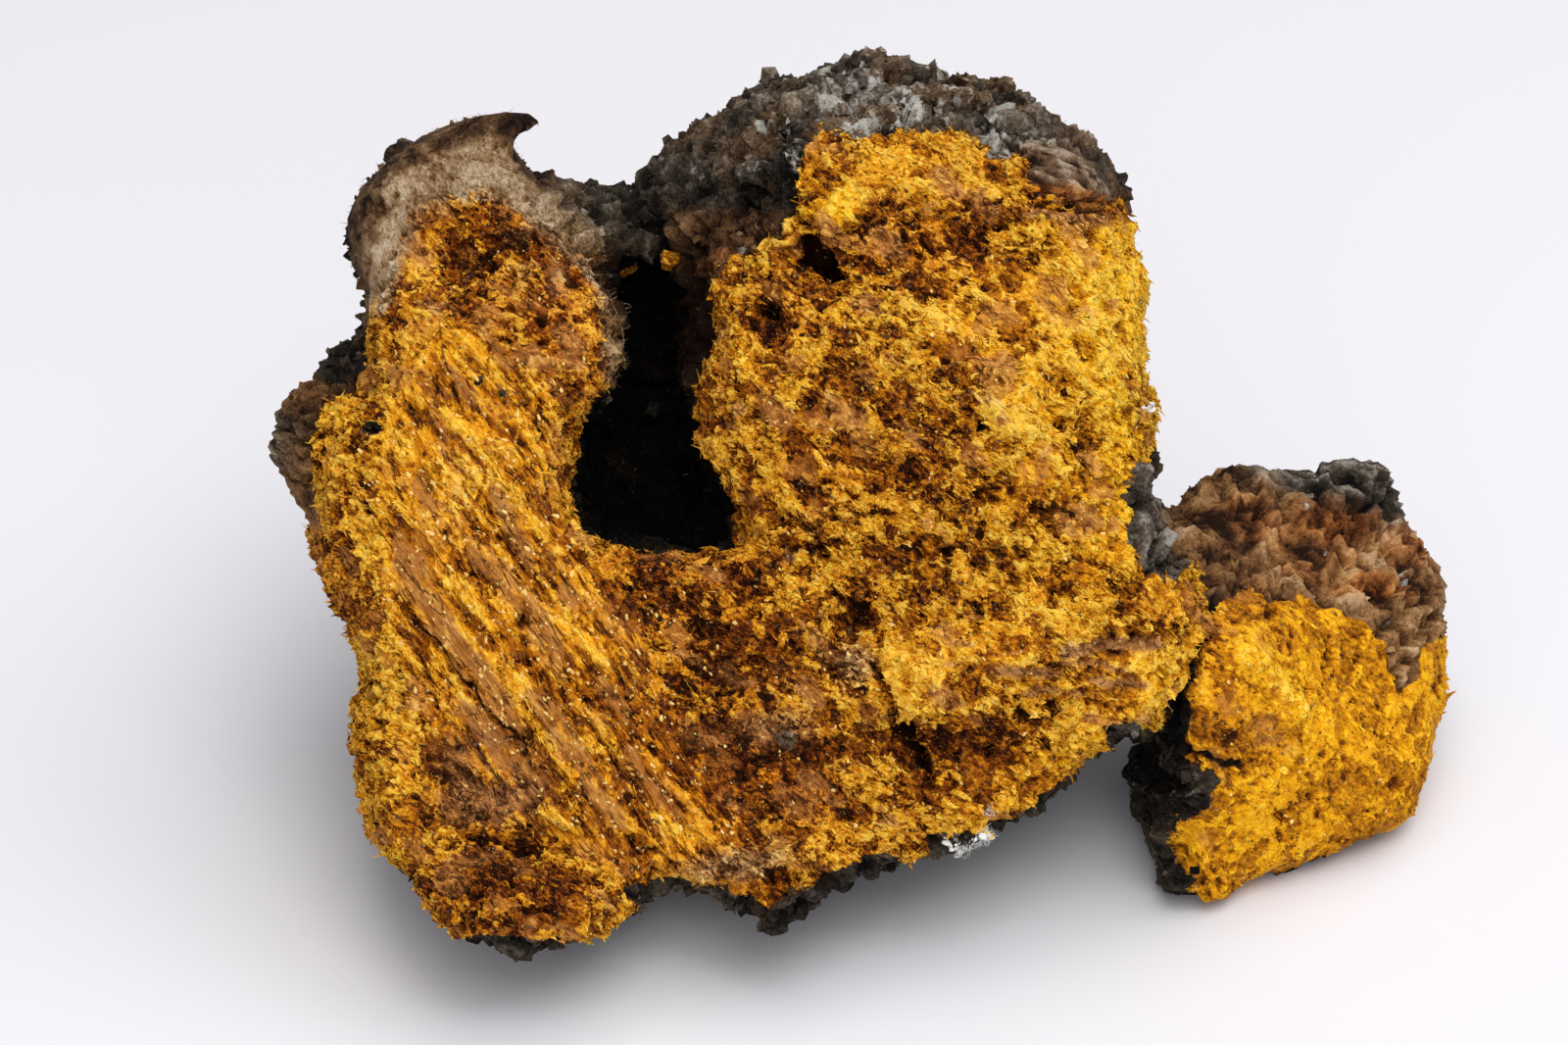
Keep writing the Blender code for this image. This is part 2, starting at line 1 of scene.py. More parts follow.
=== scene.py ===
"""The looks of a broken chunk of chaga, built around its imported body.

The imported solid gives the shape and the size. Here its skin is made fine enough to
carry the fracture's pits, crumbs and fibres and the crust's cracked blocks, and the
loose grains, flecks, hairs and mould that cling to it are added as small meshes.

Tables are in grid steps (column, row) on the fracture, one step 0.0733 mm, and in mm.
"""

import math

import bmesh
import bpy
import numpy as np
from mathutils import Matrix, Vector
from mathutils.bvhtree import BVHTree
from mathutils.kdtree import KDTree


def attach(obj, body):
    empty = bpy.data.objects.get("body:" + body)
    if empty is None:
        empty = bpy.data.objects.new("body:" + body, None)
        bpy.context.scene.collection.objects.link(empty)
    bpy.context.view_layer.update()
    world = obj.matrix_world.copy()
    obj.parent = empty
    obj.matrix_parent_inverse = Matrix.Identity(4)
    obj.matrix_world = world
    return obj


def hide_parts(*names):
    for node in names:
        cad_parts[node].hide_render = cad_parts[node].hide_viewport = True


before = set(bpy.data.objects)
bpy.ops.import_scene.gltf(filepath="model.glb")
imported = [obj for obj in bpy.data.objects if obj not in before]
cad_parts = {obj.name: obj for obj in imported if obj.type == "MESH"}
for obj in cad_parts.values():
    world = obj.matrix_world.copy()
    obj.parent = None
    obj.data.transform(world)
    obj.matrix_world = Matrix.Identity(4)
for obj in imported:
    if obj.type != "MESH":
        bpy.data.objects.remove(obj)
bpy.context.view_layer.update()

# ---------------------------------------------------------------- the grid on the fracture
PITCH = 0.0733
FAN = 424.0
MID_COL, MID_ROW = 800.0, 533.0
LEAN = math.radians(30.0)
REST_HEIGHT = 32.9
SHIFT = np.array((-6.7692, -15.719, 0.0))  # from the grid's frame to the resting frame
TOWARD = np.array((0.0, -math.cos(LEAN), math.sin(LEAN)))

SKIN_VOXEL = 0.46  # mm
SKIN_FACES = 194000  # triangles kept on the body
WRAP = 2.6  # mm that the flesh reaches round the fracture's edge


def to_grid(points):
    """Resting-frame points in mm to columns, rows and depths."""
    p = points - SHIFT
    up0 = p[:, 2] - REST_HEIGHT
    up = p[:, 1] * math.sin(LEAN) + up0 * math.cos(LEAN)
    depth = up0 * math.sin(LEAN) - p[:, 1] * math.cos(LEAN)
    k = PITCH * (FAN - depth) / FAN
    return MID_COL + p[:, 0] / k, MID_ROW - up / k, depth


def spot(col, row, depth):
    """A grid column, row and depth in mm to a resting-frame point in mm."""
    k = PITCH * (FAN - depth) / FAN
    across, up = (col - MID_COL) * k, (MID_ROW - row) * k
    return np.array(
        (
            across,
            up * math.sin(LEAN) - depth * math.cos(LEAN),
            up * math.cos(LEAN) + depth * math.sin(LEAN) + REST_HEIGHT,
        )
    ) + SHIFT


def step(value, low, high):
    t = np.clip((value - low) / (high - low), 0.0, 1.0)
    return t * t * (3.0 - 2.0 * t)


# ---------------------------------------------------------------- noise
GRADIENTS = np.random.default_rng(11).normal(size=(256, 3))
GRADIENTS /= np.linalg.norm(GRADIENTS, axis=1)[:, None]


def hashed(i, j, k, seed):
    """A repeatable random 32-bit number for each lattice point."""
    h = i * np.uint32(0x9E3779B1)
    h = h ^ (j * np.uint32(0x85EBCA77))
    h = h ^ (k * np.uint32(0xC2B2AE3D))
    h = h + np.uint32((seed * 0x27D4EB2F + 0x165667B1) & 0xFFFFFFFF)
    h = h ^ (h >> np.uint32(15))
    h = h * np.uint32(0x2C1B3C6D)
    h = h ^ (h >> np.uint32(12))
    h = h * np.uint32(0x297A2D39)
    return h ^ (h >> np.uint32(15))


def lattice(points, size):
    q = points / size
    base = np.floor(q)
    return q - base, base.astype(np.int64).astype(np.uint32)


def grain(points, size, seed=0):
    """Gradient noise, about -1 to 1, with features about size mm wide."""
    f, cell = lattice(points, size)
    w = f * f * f * (f * (f * 6.0 - 15.0) + 10.0)
    total = np.zeros(len(points))
    for dx in (0, 1):
        wx = w[:, 0] if dx else 1.0 - w[:, 0]
        for dy in (0, 1):
            wy = w[:, 1] if dy else 1.0 - w[:, 1]
            for dz in (0, 1):
                wz = w[:, 2] if dz else 1.0 - w[:, 2]
                h = hashed(
                    cell[:, 0] + np.uint32(dx),
                    cell[:, 1] + np.uint32(dy),
                    cell[:, 2] + np.uint32(dz),
                    seed,
                )
                g = GRADIENTS[h & np.uint32(255)]
                dot = (
                    g[:, 0] * (f[:, 0] - dx)
                    + g[:, 1] * (f[:, 1] - dy)
                    + g[:, 2] * (f[:, 2] - dz)
                )
                total += dot * wx * wy * wz
    return total * 1.7


def cells(points, size, seed=0):
    """Worley noise: nearest and second nearest distance in cells, a random number
    of the nearest cell, and the way from its middle."""
    f, cell = lattice(points, size)
    n = len(points)
    near, next_near = np.full(n, 9.0), np.full(n, 9.0)
    which = np.zeros(n)
    way = np.zeros((n, 3))
    for dx in (-1, 0, 1):
        for dy in (-1, 0, 1):
            for dz in (-1, 0, 1):
                h = hashed(
                    cell[:, 0] + np.uint32(dx & 0xFFFFFFFF),
                    cell[:, 1] + np.uint32(dy & 0xFFFFFFFF),
                    cell[:, 2] + np.uint32(dz & 0xFFFFFFFF),
                    seed,
                )
                a = (h & np.uint32(1023)) / 1023.0
                b = ((h >> np.uint32(10)) & np.uint32(1023)) / 1023.0
                c = ((h >> np.uint32(20)) & np.uint32(1023)) / 1023.0
                vx = f[:, 0] - dx - a
                vy = f[:, 1] - dy - b
                vz = f[:, 2] - dz - c
                d = np.sqrt(vx * vx + vy * vy + vz * vz)
                closer = d < near
                next_near = np.where(closer, near, np.minimum(next_near, d))
                near = np.where(closer, d, near)
                which = np.where(closer, ((h >> np.uint32(5)) & np.uint32(4095)) / 4095.0, which)
                way[closer, 0] = vx[closer]
                way[closer, 1] = vy[closer]
                way[closer, 2] = vz[closer]
    return near, next_near, which, way


def ridged(points, size, octaves, seed, sharp=2.0):
    """Crests of folded noise, 0 in the hollows to 1 on thin crests."""
    total, weight, gain, amount = np.zeros(len(points)), 1.0, 1.0, 0.0
    for i in range(octaves):
        crest = (1.0 - np.abs(grain(points, size / 2.0**i, seed + i))).clip(0, 1) ** sharp
        total += crest * weight * gain
        amount += gain
        weight = np.clip(crest * 1.6, 0.0, 1.0)
        gain *= 0.6
    return total / amount


# ---------------------------------------------------------------- landmarks
def oval(col, row, c, r, half_w, half_h, turn=0.0, power=1.0):
    a = math.radians(turn)
    du, dv = col - c, row - r
    u = (du * math.cos(a) + dv * math.sin(a)) / half_w
    v = (-du * math.sin(a) + dv * math.cos(a)) / half_h
    return np.exp(-(((u * u + v * v) * 0.9) ** power))


def line_distance(col, row, points):
    """Distance in grid steps to a broken line, and the share of its length there."""
    best, along = np.full(len(col), 1e9), np.zeros(len(col))
    lengths = [math.dist(a, b) for a, b in zip(points, points[1:])]
    total, done = sum(lengths), 0.0
    for (ax, ay), (bx, by), length in zip(points, points[1:], lengths):
        t = np.clip(((col - ax) * (bx - ax) + (row - ay) * (by - ay)) / length**2, 0, 1)
        d = np.hypot(col - ax - t * (bx - ax), row - ay - t * (by - ay))
        closer = d < best
        best = np.where(closer, d, best)
        along = np.where(closer, (done + t * length) / total, along)
        done += length
    return best, along


def inside(col, row, outline, soft):
    """1 inside an outline, 0 outside, soft grid steps wide at its edge."""
    within = np.zeros(len(col), bool)
    closed = outline + outline[:1]
    for (ax, ay), (bx, by) in zip(closed, closed[1:]):
        if ay != by:
            crosses = (ay > row) != (by > row)
            at = ax + (row - ay) * (bx - ax) / (by - ay)
            within ^= crosses & (col < at)
    d, _ = line_distance(col, row, closed)
    return step(np.where(within, d, -d), -soft, soft)


# Broad tone of the fracture: (column, row, half width, half height, turn, tone, hardness).
# Above 0 is yellower and brighter, below 0 browner or darker. Some entries are painted light:
# (834, 264) in the deep pit, (510, 858) under the ledge over the lower left lobe and (936, 765)
# under the bulge are painted shade, and (806, 247) on the lit ridge by the pit is painted highlight.
TONES = [
    (437, 244, 12, 11, 0, 0.30, 1.5),
    (428, 273, 26, 13, -8, 0.30, 1.5),
    (430, 258, 11, 5, 0, -0.40, 1.5),
    (486, 262, 20, 42, 8, -0.42, 1.3),
    (545, 290, 60, 60, 0, -0.14, 1.5),
    (400, 330, 34, 26, 0, -0.20, 1.2),
    (440, 355, 46, 26, 10, 0.10, 1.5),
    (500, 430, 70, 60, 0, 0.08, 1.5),
    (382, 500, 26, 60, 0, 0.12, 1.4),
    (346, 590, 26, 50, -20, -0.20, 1.5),
    (465, 505, 24, 26, 20, 0.16, 1.8),
    (492, 520, 12, 7, 30, -0.40, 1.6),
    (566, 505, 24, 50, 0, -0.05, 1.4),
    (384, 760, 26, 60, 0, 0.04, 1.4),
    (420, 800, 26, 44, 20, -0.10, 1.3),
    (496, 796, 58, 50, 15, -0.42, 1.6),
    # painted shade under the ledge over the lower left lobe
    (510, 858, 54, 13, 4, -0.52, 1.6),
    (600, 900, 54, 26, 0, 0.10, 1.6),
    (526, 910, 104, 34, 5, -0.34, 1.6),
    (418, 768, 13, 40, 8, 0.28, 1.8),
    (500, 950, 60, 16, 5, -0.28, 1.5),
    (850, 213, 24, 26, 0, 0.34, 1.8),
    # painted highlight on the lit ridge, then painted shade in the deep pit beside it
    (806, 247, 10, 24, 20, 0.24, 1.6),
    (834, 264, 25, 18, 35, -0.85, 2.0),
    (915, 203, 17, 13, 0, -0.34, 1.9),
    (992, 212, 11, 17, 10, -0.34, 1.9),
    (940, 250, 90, 36, 4, -0.24, 1.7),
    (1010, 250, 30, 34, 0, -0.12, 1.5),
    (784, 314, 40, 30, 0, -0.36, 1.5),
    (783, 315, 6, 16, 8, -0.65, 1.7),
    (940, 190, 90, 24, 0, 0.10, 1.5),
    (958, 322, 48, 13, 18, 0.30, 1.5),
    (1130, 300, 46, 76, 5, 0.30, 1.6),
    (1060, 300, 60, 50, 0, 0.05, 1.5),
    (1105, 205, 44, 26, 12, -0.34, 1.7),
    (1045, 438, 58, 30, 38, 0.30, 1.6),
    (1106, 447, 19, 17, 40, -0.42, 1.6),
    (1140, 430, 26, 60, 0, 0.10, 1.4),
    (900, 400, 70, 60, 20, -0.05, 1.5),
    (790, 430, 40, 60, 10, 0.02, 1.5),
    (1150, 500, 12, 50, 0, 0.14, 1.5),
    (880, 500, 70, 40, 0, -0.05, 1.5),
    (1040, 555, 60, 26, 0, 0.10, 1.5),
    (920, 585, 60, 22, 0, -0.12, 1.5),
    (662, 600, 40, 46, 10, -0.28, 1.5),
    (735, 660, 66, 76, 0, -0.34, 1.7),
    (700, 770, 60, 50, 30, -0.18, 1.5),
    (800, 790, 66, 50, 0, -0.32, 1.7),
    (790, 620, 40, 34, 0, 0.06, 1.5),
    (822, 720, 30, 46, 0, 0.10, 1.6),
    (878, 627, 12, 14, 0, -0.60, 1.7),
    (864, 622, 22, 20, 30, -0.28, 1.6),
    (925, 690, 34, 40, -25, 0.34, 1.8),
    (980, 712, 66, 34, 0, 0.10, 1.6),
    (990, 762, 56, 22, 10, -0.32, 1.7),
    # painted shade under the bulge
    (936, 765, 30, 30, 35, -0.34, 1.6),
    (1045, 745, 60, 26, -25, -0.04, 1.5),
    (1110, 735, 50, 26, -20, 0.10, 1.5),
    (1190, 690, 34, 46, 0, 0.30, 1.7),
    (1170, 625, 40, 26, 0, -0.18, 1.6),
    (1216, 620, 16, 40, 0, 0.06, 1.6),
    (1080, 620, 60, 24, 0, 0.14, 1.5),
    (760, 860, 50, 26, -6, -0.14, 1.5),
    (790, 905, 22, 22, 0, -0.24, 1.5),
    (900, 850, 60, 16, -6, 0.06, 1.5),
    (1290, 690, 44, 56, -35, 0.20, 1.7),
    (1325, 740, 26, 20, 30, 0.20, 1.7),
    (1262, 740, 34, 34, 0, -0.22, 1.7),
    (1270, 620, 30, 18, 0, 0.05, 1.5),
    (1235, 700, 16, 44, 10, 0.02, 1.5),
    (1225, 750, 34, 18, 0, -0.18, 1.5),
    (1370, 680, 60, 46, 20, -0.08, 1.6),
    (1464, 692, 18, 52, 0, 0.06, 1.8),
    (1400, 820, 50, 30, -18, 0.02, 1.6),
    (1290, 850, 60, 34, -20, 0.14, 1.5),
    (1380, 865, 60, 14, -24, -0.16, 1.5),
    (1232, 910, 16, 20, 0, -0.10, 1.5),
    (520, 905, 110, 44, -5, -0.14, 2.0),
    (500, 330, 100, 60, 0, 0.14, 2.0),
    (1085, 350, 76, 110, 0, 0.15, 2.0),
    (980, 680, 90, 60, 0, 0.08, 2.0),
    (1140, 660, 90, 70, 0, 0.06, 2.0),
    (920, 180, 120, 36, 0, 0.16, 2.0),
    (740, 720, 110, 130, 0, -0.10, 2.0),
    (990, 790, 100, 34, -14, -0.08, 2.0),
    (1330, 830, 120, 60, 0, -0.10, 2.0),
    (470, 600, 130, 260, 0, 0.04, 2.0),
]
# Smooth tan-brown fibre bands: (half width, [(column, row), ...])
BANDS = [
    (18, [(404, 545), (424, 590), (446, 630), (474, 672), (502, 712), (530, 748)]),
    (7, [(424, 482), (437, 512), (452, 540)]),
    (9, [(500, 492), (514, 520), (530, 548), (546, 580)]),
    (15, [(478, 548), (508, 584), (536, 620), (558, 655), (574, 690)]),
    (10, [(570, 598), (592, 618)]),
    (11, [(470, 714), (496, 748), (524, 780), (556, 812)]),
    (13, [(540, 700), (566, 735), (590, 775), (612, 812), (640, 846)]),
    (8, [(606, 688), (628, 712), (648, 738)]),
    (8, [(640, 760), (664, 796), (690, 828)]),
    (6, [(452, 372), (470, 392), (486, 414)]),
    (6, [(486, 330), (506, 356), (524, 380)]),
    (9, [(362, 372), (376, 396)]),
    (6, [(444, 418), (452, 446), (456, 470)]),
]
# Brown fibre strips on the nose, and layered strips by the right shoulder.
STRIPS = [
    (7, [(1090, 664), (1135, 658), (1184, 659)], 0.95),
    (5, [(1022, 688), (1052, 686), (1080, 689)], 0.9),
    (5, [(1118, 697), (1142, 696), (1166, 701)], 0.85),
    (3, [(968, 655), (984, 657), (998, 660)], 0.6),
    (3, [(1088, 676), (1120, 677), (1150, 684)], 0.7),
    (3, [(1046, 708), (1080, 706), (1106, 710)], 0.6),
    (5, [(1054, 216), (1090, 220), (1136, 226)], 0.8),
]
# Narrow grooves, darkened along their length, partly as painted shade: (half width, depth mm, darkness, [(column, row),
# ...])
GROOVES = [
    (3.4, 1.15, 0.9, [(402, 604), (416, 622), (430, 640), (456, 672), (481, 706), (510, 740), (532, 758), (552, 774)]),
    (3.0, 0.8, 0.7, [(398, 655), (412, 676), (427, 693), (442, 712), (452, 730)]),
    (3.2, 0.8, 0.7, [(594, 728), (607, 744), (620, 762), (631, 780), (642, 802)]),
    (2.4, 0.5, 0.5, [(480, 566), (498, 590), (512, 614), (522, 636)]),
    (2.2, 0.45, 0.5, [(548, 640), (562, 668), (572, 694)]),
    (2.4, 0.5, 0.5, [(446, 328), (452, 356), (458, 384), (466, 410)]),
    (2.2, 0.4, 0.45, [(496, 470), (492, 494), (484, 516), (470, 532)]),
    (2.4, 0.5, 0.5, [(500, 790), (540, 826), (572, 846), (600, 860)]),
    (2.6, 0.6, 0.55, [(660, 780), (680, 806), (704, 832)]),
    (2.4, 0.5, 0.5, [(616, 650), (626, 676), (640, 700)]),
    (3.0, 0.8, 0.8, [(846, 596), (858, 612), (870, 630), (884, 640)]),
    (6.0, 2.1, 1.0, [(884, 662), (896, 690), (904, 722), (914, 744), (930, 760), (946, 780), (956, 800)]),
    (6.0, 1.2, 0.8, [(448, 864), (480, 856), (518, 857), (556, 866)]),
    (2.4, 0.7, 0.9, [(1046, 207), (1080, 210), (1110, 213), (1138, 216)]),
    (2.6, 0.6, 0.6, [(940, 238), (946, 250), (956, 262)]),
    (2.0, 0.35, 0.4, [(880, 302), (920, 300), (960, 297), (1000, 299)]),
    (2.4, 0.4, 0.5, [(1052, 186), (1082, 196), (1110, 202), (1136, 206)]),
    (2.2, 0.35, 0.45, [(1048, 172), (1080, 180), (1112, 188), (1138, 192)]),
    (2.6, 0.6, 0.6, [(812, 246), (826, 262), (838, 276), (852, 282)]),
    (2.2, 0.45, 0.5, [(560, 226), (584, 246), (600, 268), (610, 290)]),
    (2.2, 0.5, 0.5, [(700, 700), (722, 716), (750, 720), (772, 716)]),
    (2.2, 0.4, 0.5, [(760, 720), (764, 744), (758, 770)]),
    (2.6, 0.6, 0.6, [(1040, 566), (1072, 572), (1100, 568), (1126, 576)]),
]
# The crack between the nose and the lobe, darkened and given the crust's colour as painted shade in the narrow fissure,
# and the dark seam below it.
CRACK = [(1238, 646), (1229, 658), (1224, 676), (1222, 692), (1214, 704), (1206, 722), (1196, 738), (1188, 750)]
SEAM = [(1200, 762), (1214, 768), (1228, 773), (1244, 780), (1262, 782), (1278, 780)]
# Round pits: (column, row, radius, depth mm, darkness). The darkness is painted shade in the deep pits,
# and the flesh's own brown in the shallow blotches over the dome.
PITS = [
    (824, 254, 11, 2.0, 1.2),
    (836, 265, 13, 2.6, 1.3),
    (848, 277, 11, 2.2, 1.2),
    (821, 268, 6, 1.0, 0.7),
    (816, 252, 5, 1.0, 0.8),
    (784, 315, 8, 1.8, 0.9),
    (770, 330, 6, 0.9, 0.6),
    (762, 306, 9, 1.0, 0.6),
    (911, 200, 8, 0.6, 0.30),
    (922, 209, 6, 0.5, 0.30),
    (990, 207, 7, 0.5, 0.28),
    (994, 221, 6, 0.5, 0.28),
    (430, 255, 8, 1.0, 0.7),
    (500, 270, 5, 0.8, 0.7),
    (520, 283, 4, 0.8, 0.7),
    (552, 350, 7, 1.1, 0.8),
    (552, 324, 7, 1.0, 0.7),
    (592, 398, 6, 0.9, 0.7),
    (532, 631, 10, 1.5, 0.9),
    (511, 650, 7, 0.9, 0.5),
    (536, 651, 8, 0.9, 0.5),
    (524, 676, 4, 0.7, 0.8),
    (540, 676, 4, 0.6, 0.7),
    (346, 580, 6, 0.8, 0.6),
    (406, 500, 5, 0.8, 0.7),
    (400, 462, 4, 0.6, 0.7),
    (455, 544, 4, 0.5, 0.7),
    (878, 627, 8, 2.2, 0.95),
    (862, 614, 8, 1.2, 0.7),
    (1104, 448, 14, 1.0, 0.5),
    (1078, 452, 6, 0.7, 0.5),
    (1333, 700, 4, 0.6, 0.7),
    (1410, 722, 5, 0.8, 0.9),
    (1413, 752, 4, 0.7, 0.9),
    (1421, 734, 4, 0.6, 0.8),
    (1310, 833, 7, 0.8, 0.6),
    (1427, 800, 9, 0.7, 0.5),
    (1358, 670, 5, 0.7, 0.7),
    (1386, 674, 5, 0.7, 0.6),
    (1300, 622, 8, 0.9, 0.6),
    (1215, 658, 4, 0.5, 0.5),
    (1138, 650, 6, 0.8, 0.8),
    (1009, 770, 7, 0.9, 0.8),
    (975, 770, 6, 0.8, 0.7),
    (940, 775, 8, 1.2, 0.8),
    (925, 748, 8, 1.2, 0.8),
    (716, 648, 6, 0.8, 0.7),
    (742, 640, 5, 0.8, 0.8),
    (800, 756, 9, 0.9, 0.8),
    (838, 612, 5, 0.8, 0.7),
    (1003, 436, 6, 0.5, 0.3),
    (1038, 600, 6, 0.8, 0.7),
    (1060, 590, 5, 0.7, 0.6),
    (965, 365, 6, 0.7, 0.6),
    (876, 388, 7, 0.8, 0.6),
    (850, 352, 5, 0.6, 0.5),
    (735, 390, 6, 0.8, 0.6),
    (900, 330, 6, 0.7, 0.6),
    (1010, 345, 6, 0.7, 0.6),
    (1040, 372, 5, 0.7, 0.6),
    (930, 470, 6, 0.8, 0.6),
    (850, 470, 6, 0.8, 0.6),
]
# Raised ridges and knobs: (half width, height mm, tone, [(column, row), ...]). The tone lightens
# their crests, partly the crests' own yellow and partly painted highlight.
RIDGES = [
    (5, 0.7, 0.20, [(800, 222), (806, 244), (818, 262), (836, 284)]),
    (7, 0.5, 0.25, [(912, 306), (940, 316), (962, 330), (978, 346)]),
    (8, 0.6, 0.18, [(1002, 404), (1040, 430), (1070, 456), (1092, 474)]),
    (26, 0.9, 0.05, [(1250, 642), (1276, 672), (1304, 704), (1334, 738)]),
    (9, 0.3, 0.10, [(1262, 655), (1290, 690), (1318, 716), (1338, 742)]),
    (5, 0.4, 0.14, [(1338, 742), (1322, 770), (1300, 800), (1282, 834)]),
    (5, 0.5, 0.12, [(770, 268), (790, 256), (808, 240)]),
    (4, 0.35, 0.16, [(724, 352), (752, 346), (776, 342)]),
    (5, 0.5, 0.10, [(900, 664), (930, 676), (958, 700), (970, 726)]),
    (4, 0.4, 0.12, [(404, 684), (440, 740), (484, 786), (520, 812)]),
    (4, 0.35, 0.10, [(560, 764), (590, 800), (622, 836)]),
    (4, 0.35, 0.14, [(690, 700), (702, 726), (722, 752), (748, 770)]),
    (6, 0.5, 0.10, [(986, 560), (1030, 552), (1074, 556), (1118, 552)]),
]
# Redder, rustier flesh: (column, row, half width, half height, turn, amount)
RUSTY = [
    (940, 252, 86, 34, 4, 0.75),
    (915, 203, 20, 16, 0, 0.8),
    (992, 212, 13, 20, 0, 0.8),
    (790, 312, 46, 36, 0, 0.7),
    (338, 600, 22, 60, -20, 0.75),
    (352, 500, 22, 60, 0, 0.35),
    (600, 440, 22, 110, 8, 0.6),
    (560, 300, 70, 60, 0, 0.45),
    (670, 574, 90, 20, 6, 0.75),
    (722, 430, 18, 90, 0, 0.75),
    (745, 520, 40, 30, 40, 0.6),
    (400, 350, 34, 30, 0, 0.5),
    (520, 915, 100, 40, 0, 0.35),
    (500, 800, 60, 46, 15, 0.6),
    (850, 150, 40, 18, -10, 0.35),
    (1000, 160, 60, 18, 10, 0.4),
    (1106, 447, 26, 22, 40, 0.5),
    (880, 480, 90, 50, 0, 0.3),
    (800, 790, 80, 50, 0, 0.4),
    (980, 765, 70, 22, 10, 0.5),
    (1175, 610, 50, 36, 0, 0.4),
    (1255, 740, 30, 40, 0, 0.35),
    (1290, 607, 40, 12, 0, 0.4),
    (700, 900, 60, 20, 0, 0.5),
]
# Orange-brown blocks in the crust: (column, row, half width, half height, turn, amount)
HOT_SPOTS = [
    (1358, 532, 42, 16, 6, 0.8),
    (1404, 597, 42, 13, 4, 0.85),
    (1296, 540, 34, 18, 20, 0.5),
    (1268, 516, 20, 16, 0, 0.55),
    (1440, 556, 36, 18, 10, 0.5),
    (1330, 580, 32, 14, 14, 0.4),
    (1370, 566, 26, 12, 0, 0.4),
    (1276, 600, 26, 8, -10, 0.4),
    (1092, 196, 48, 5, 12, 0.8),
    (740, 262, 40, 8, -20, 0.5),
    (712, 320, 10, 40, 0, 0.5),
]
SHELF_CRUST = [(1040, 150), (1050, 164), (1045, 178), (1054, 190), (1080, 196), (1110, 200), (1142, 205),
               (1154, 196), (1154, 150)]
LOBE_TOP = [(1186, 470), (1186, 522), (1204, 545), (1216, 560), (1224, 580), (1230, 602), (1236, 628), (1244, 614),
            (1262, 604), (1280, 596), (1298, 608), (1322, 606), (1344, 612), (1370, 622), (1392, 634), (1404, 646),
            (1416, 656), (1422, 684), (1434, 704), (1446, 696), (1450, 672), (1464, 654), (1490, 644), (1500, 560),
            (1430, 460), (1240, 460)]
LOBE_FACE = [(1238, 640), (1250, 600), (1500, 600), (1500, 950), (1200, 950), (1200, 780), (1222, 700)]
# Crust that shows on the front: outlines in grid steps.
CRUST_PATCHES = [
    # weathered band and tip over the arm
    ([(330, 205), (360, 150), (410, 125), (450, 108), (500, 96), (570, 96), (580, 128), (560, 150),
      (560, 164), (570, 182), (580, 196), (534, 196), (500, 190), (466, 196), (430, 206),
      (412, 226), (404, 250), (396, 276), (384, 300), (376, 340), (362, 350), (330, 300)], 5.0),
    # rim down the arm's right side
    ([(530, 190), (546, 212), (566, 226), (586, 241), (602, 261), (612, 285), (621, 303), (626, 350),
      (628, 378), (640, 378), (660, 300), (650, 240), (610, 190), (560, 170)], 2.5),
    # charred patch under the right shoulder
    ([(1158, 472), (1176, 470), (1190, 480), (1188, 520), (1196, 540), (1216, 548), (1224, 562),
      (1216, 578), (1204, 592), (1186, 588), (1168, 576), (1158, 564), (1152, 548), (1160, 522),
      (1154, 500)], 2.5),
    # rim along the left edge of the dome
    ([(832, 122), (828, 136), (816, 150), (808, 176), (804, 204), (800, 226), (790, 244), (768, 256),
      (744, 268), (730, 284), (722, 300), (640, 300), (640, 200), (740, 100)], 3.0),
    # layered crust on the shelf by the right shoulder
    (SHELF_CRUST, 2.0),
    # rim over the dome
    ([(828, 134), (838, 126), (862, 134), (884, 128), (912, 126), (940, 132), (970, 130), (990, 136),
      (1010, 146), (1016, 156), (1050, 156), (1100, 150), (1150, 170), (1150, 60), (740, 60), (740, 150),
      (800, 150)], 3.0),
    # the lobe's rough brown top
    (LOBE_TOP, 3.0),
    # the lobe's black left flank
    ([(1130, 744), (1184, 744), (1200, 756), (1212, 776), (1228, 786), (1246, 792), (1240, 812),
      (1232, 828), (1216, 840), (1204, 862), (1212, 880), (1222, 894), (1222, 914), (1226, 932),
      (1130, 932)], 2.5),
    # black chip on the left rim
    ([(362, 436), (370, 428), (384, 429), (392, 436), (380, 441), (366, 442)], 1.5),
    # left lump
    ([(262, 340), (372, 340), (372, 372), (356, 398), (330, 408), (318, 430), (312, 470), (316, 500),
      (322, 540), (262, 540)], 3.0),
    # small black chips
    ([(483, 384), (490, 382), (494, 388), (488, 393), (483, 391)], 1.2),
    ([(508, 396), (515, 394), (518, 401), (512, 406), (507, 403)], 1.2),
    ([(996, 432), (1006, 430), (1008, 440), (998, 444)], 1.2),
    ([(792, 748), (808, 744), (814, 756), (804, 766), (794, 762)], 1.5),
    # crusty fringe under the dome and the foot
    ([(640, 905), (680, 900), (735, 906), (765, 915), (780, 925), (800, 915), (830, 900), (860, 886),
      (905, 874), (925, 880), (905, 900), (850, 925), (815, 950), (780, 955), (735, 920), (650, 930)], 2.5),
    ([(470, 962), (500, 956), (540, 958), (565, 962), (590, 965), (560, 990), (500, 990)], 3.0),
    ([(945, 852), (975, 850), (1000, 846), (1022, 836), (1060, 820), (1086, 798), (1118, 772),
      (1150, 748), (1150, 760), (1100, 812), (1040, 850), (990, 880), (950, 880)], 2.0),
]


# ---------------------------------------------------------------- the body
def array_of(mesh, field, width=3):
    out = np.empty(len(mesh.vertices) * width, np.float32)
    mesh.vertices.foreach_get(field, out)
    return out.reshape(-1, width).astype(float)


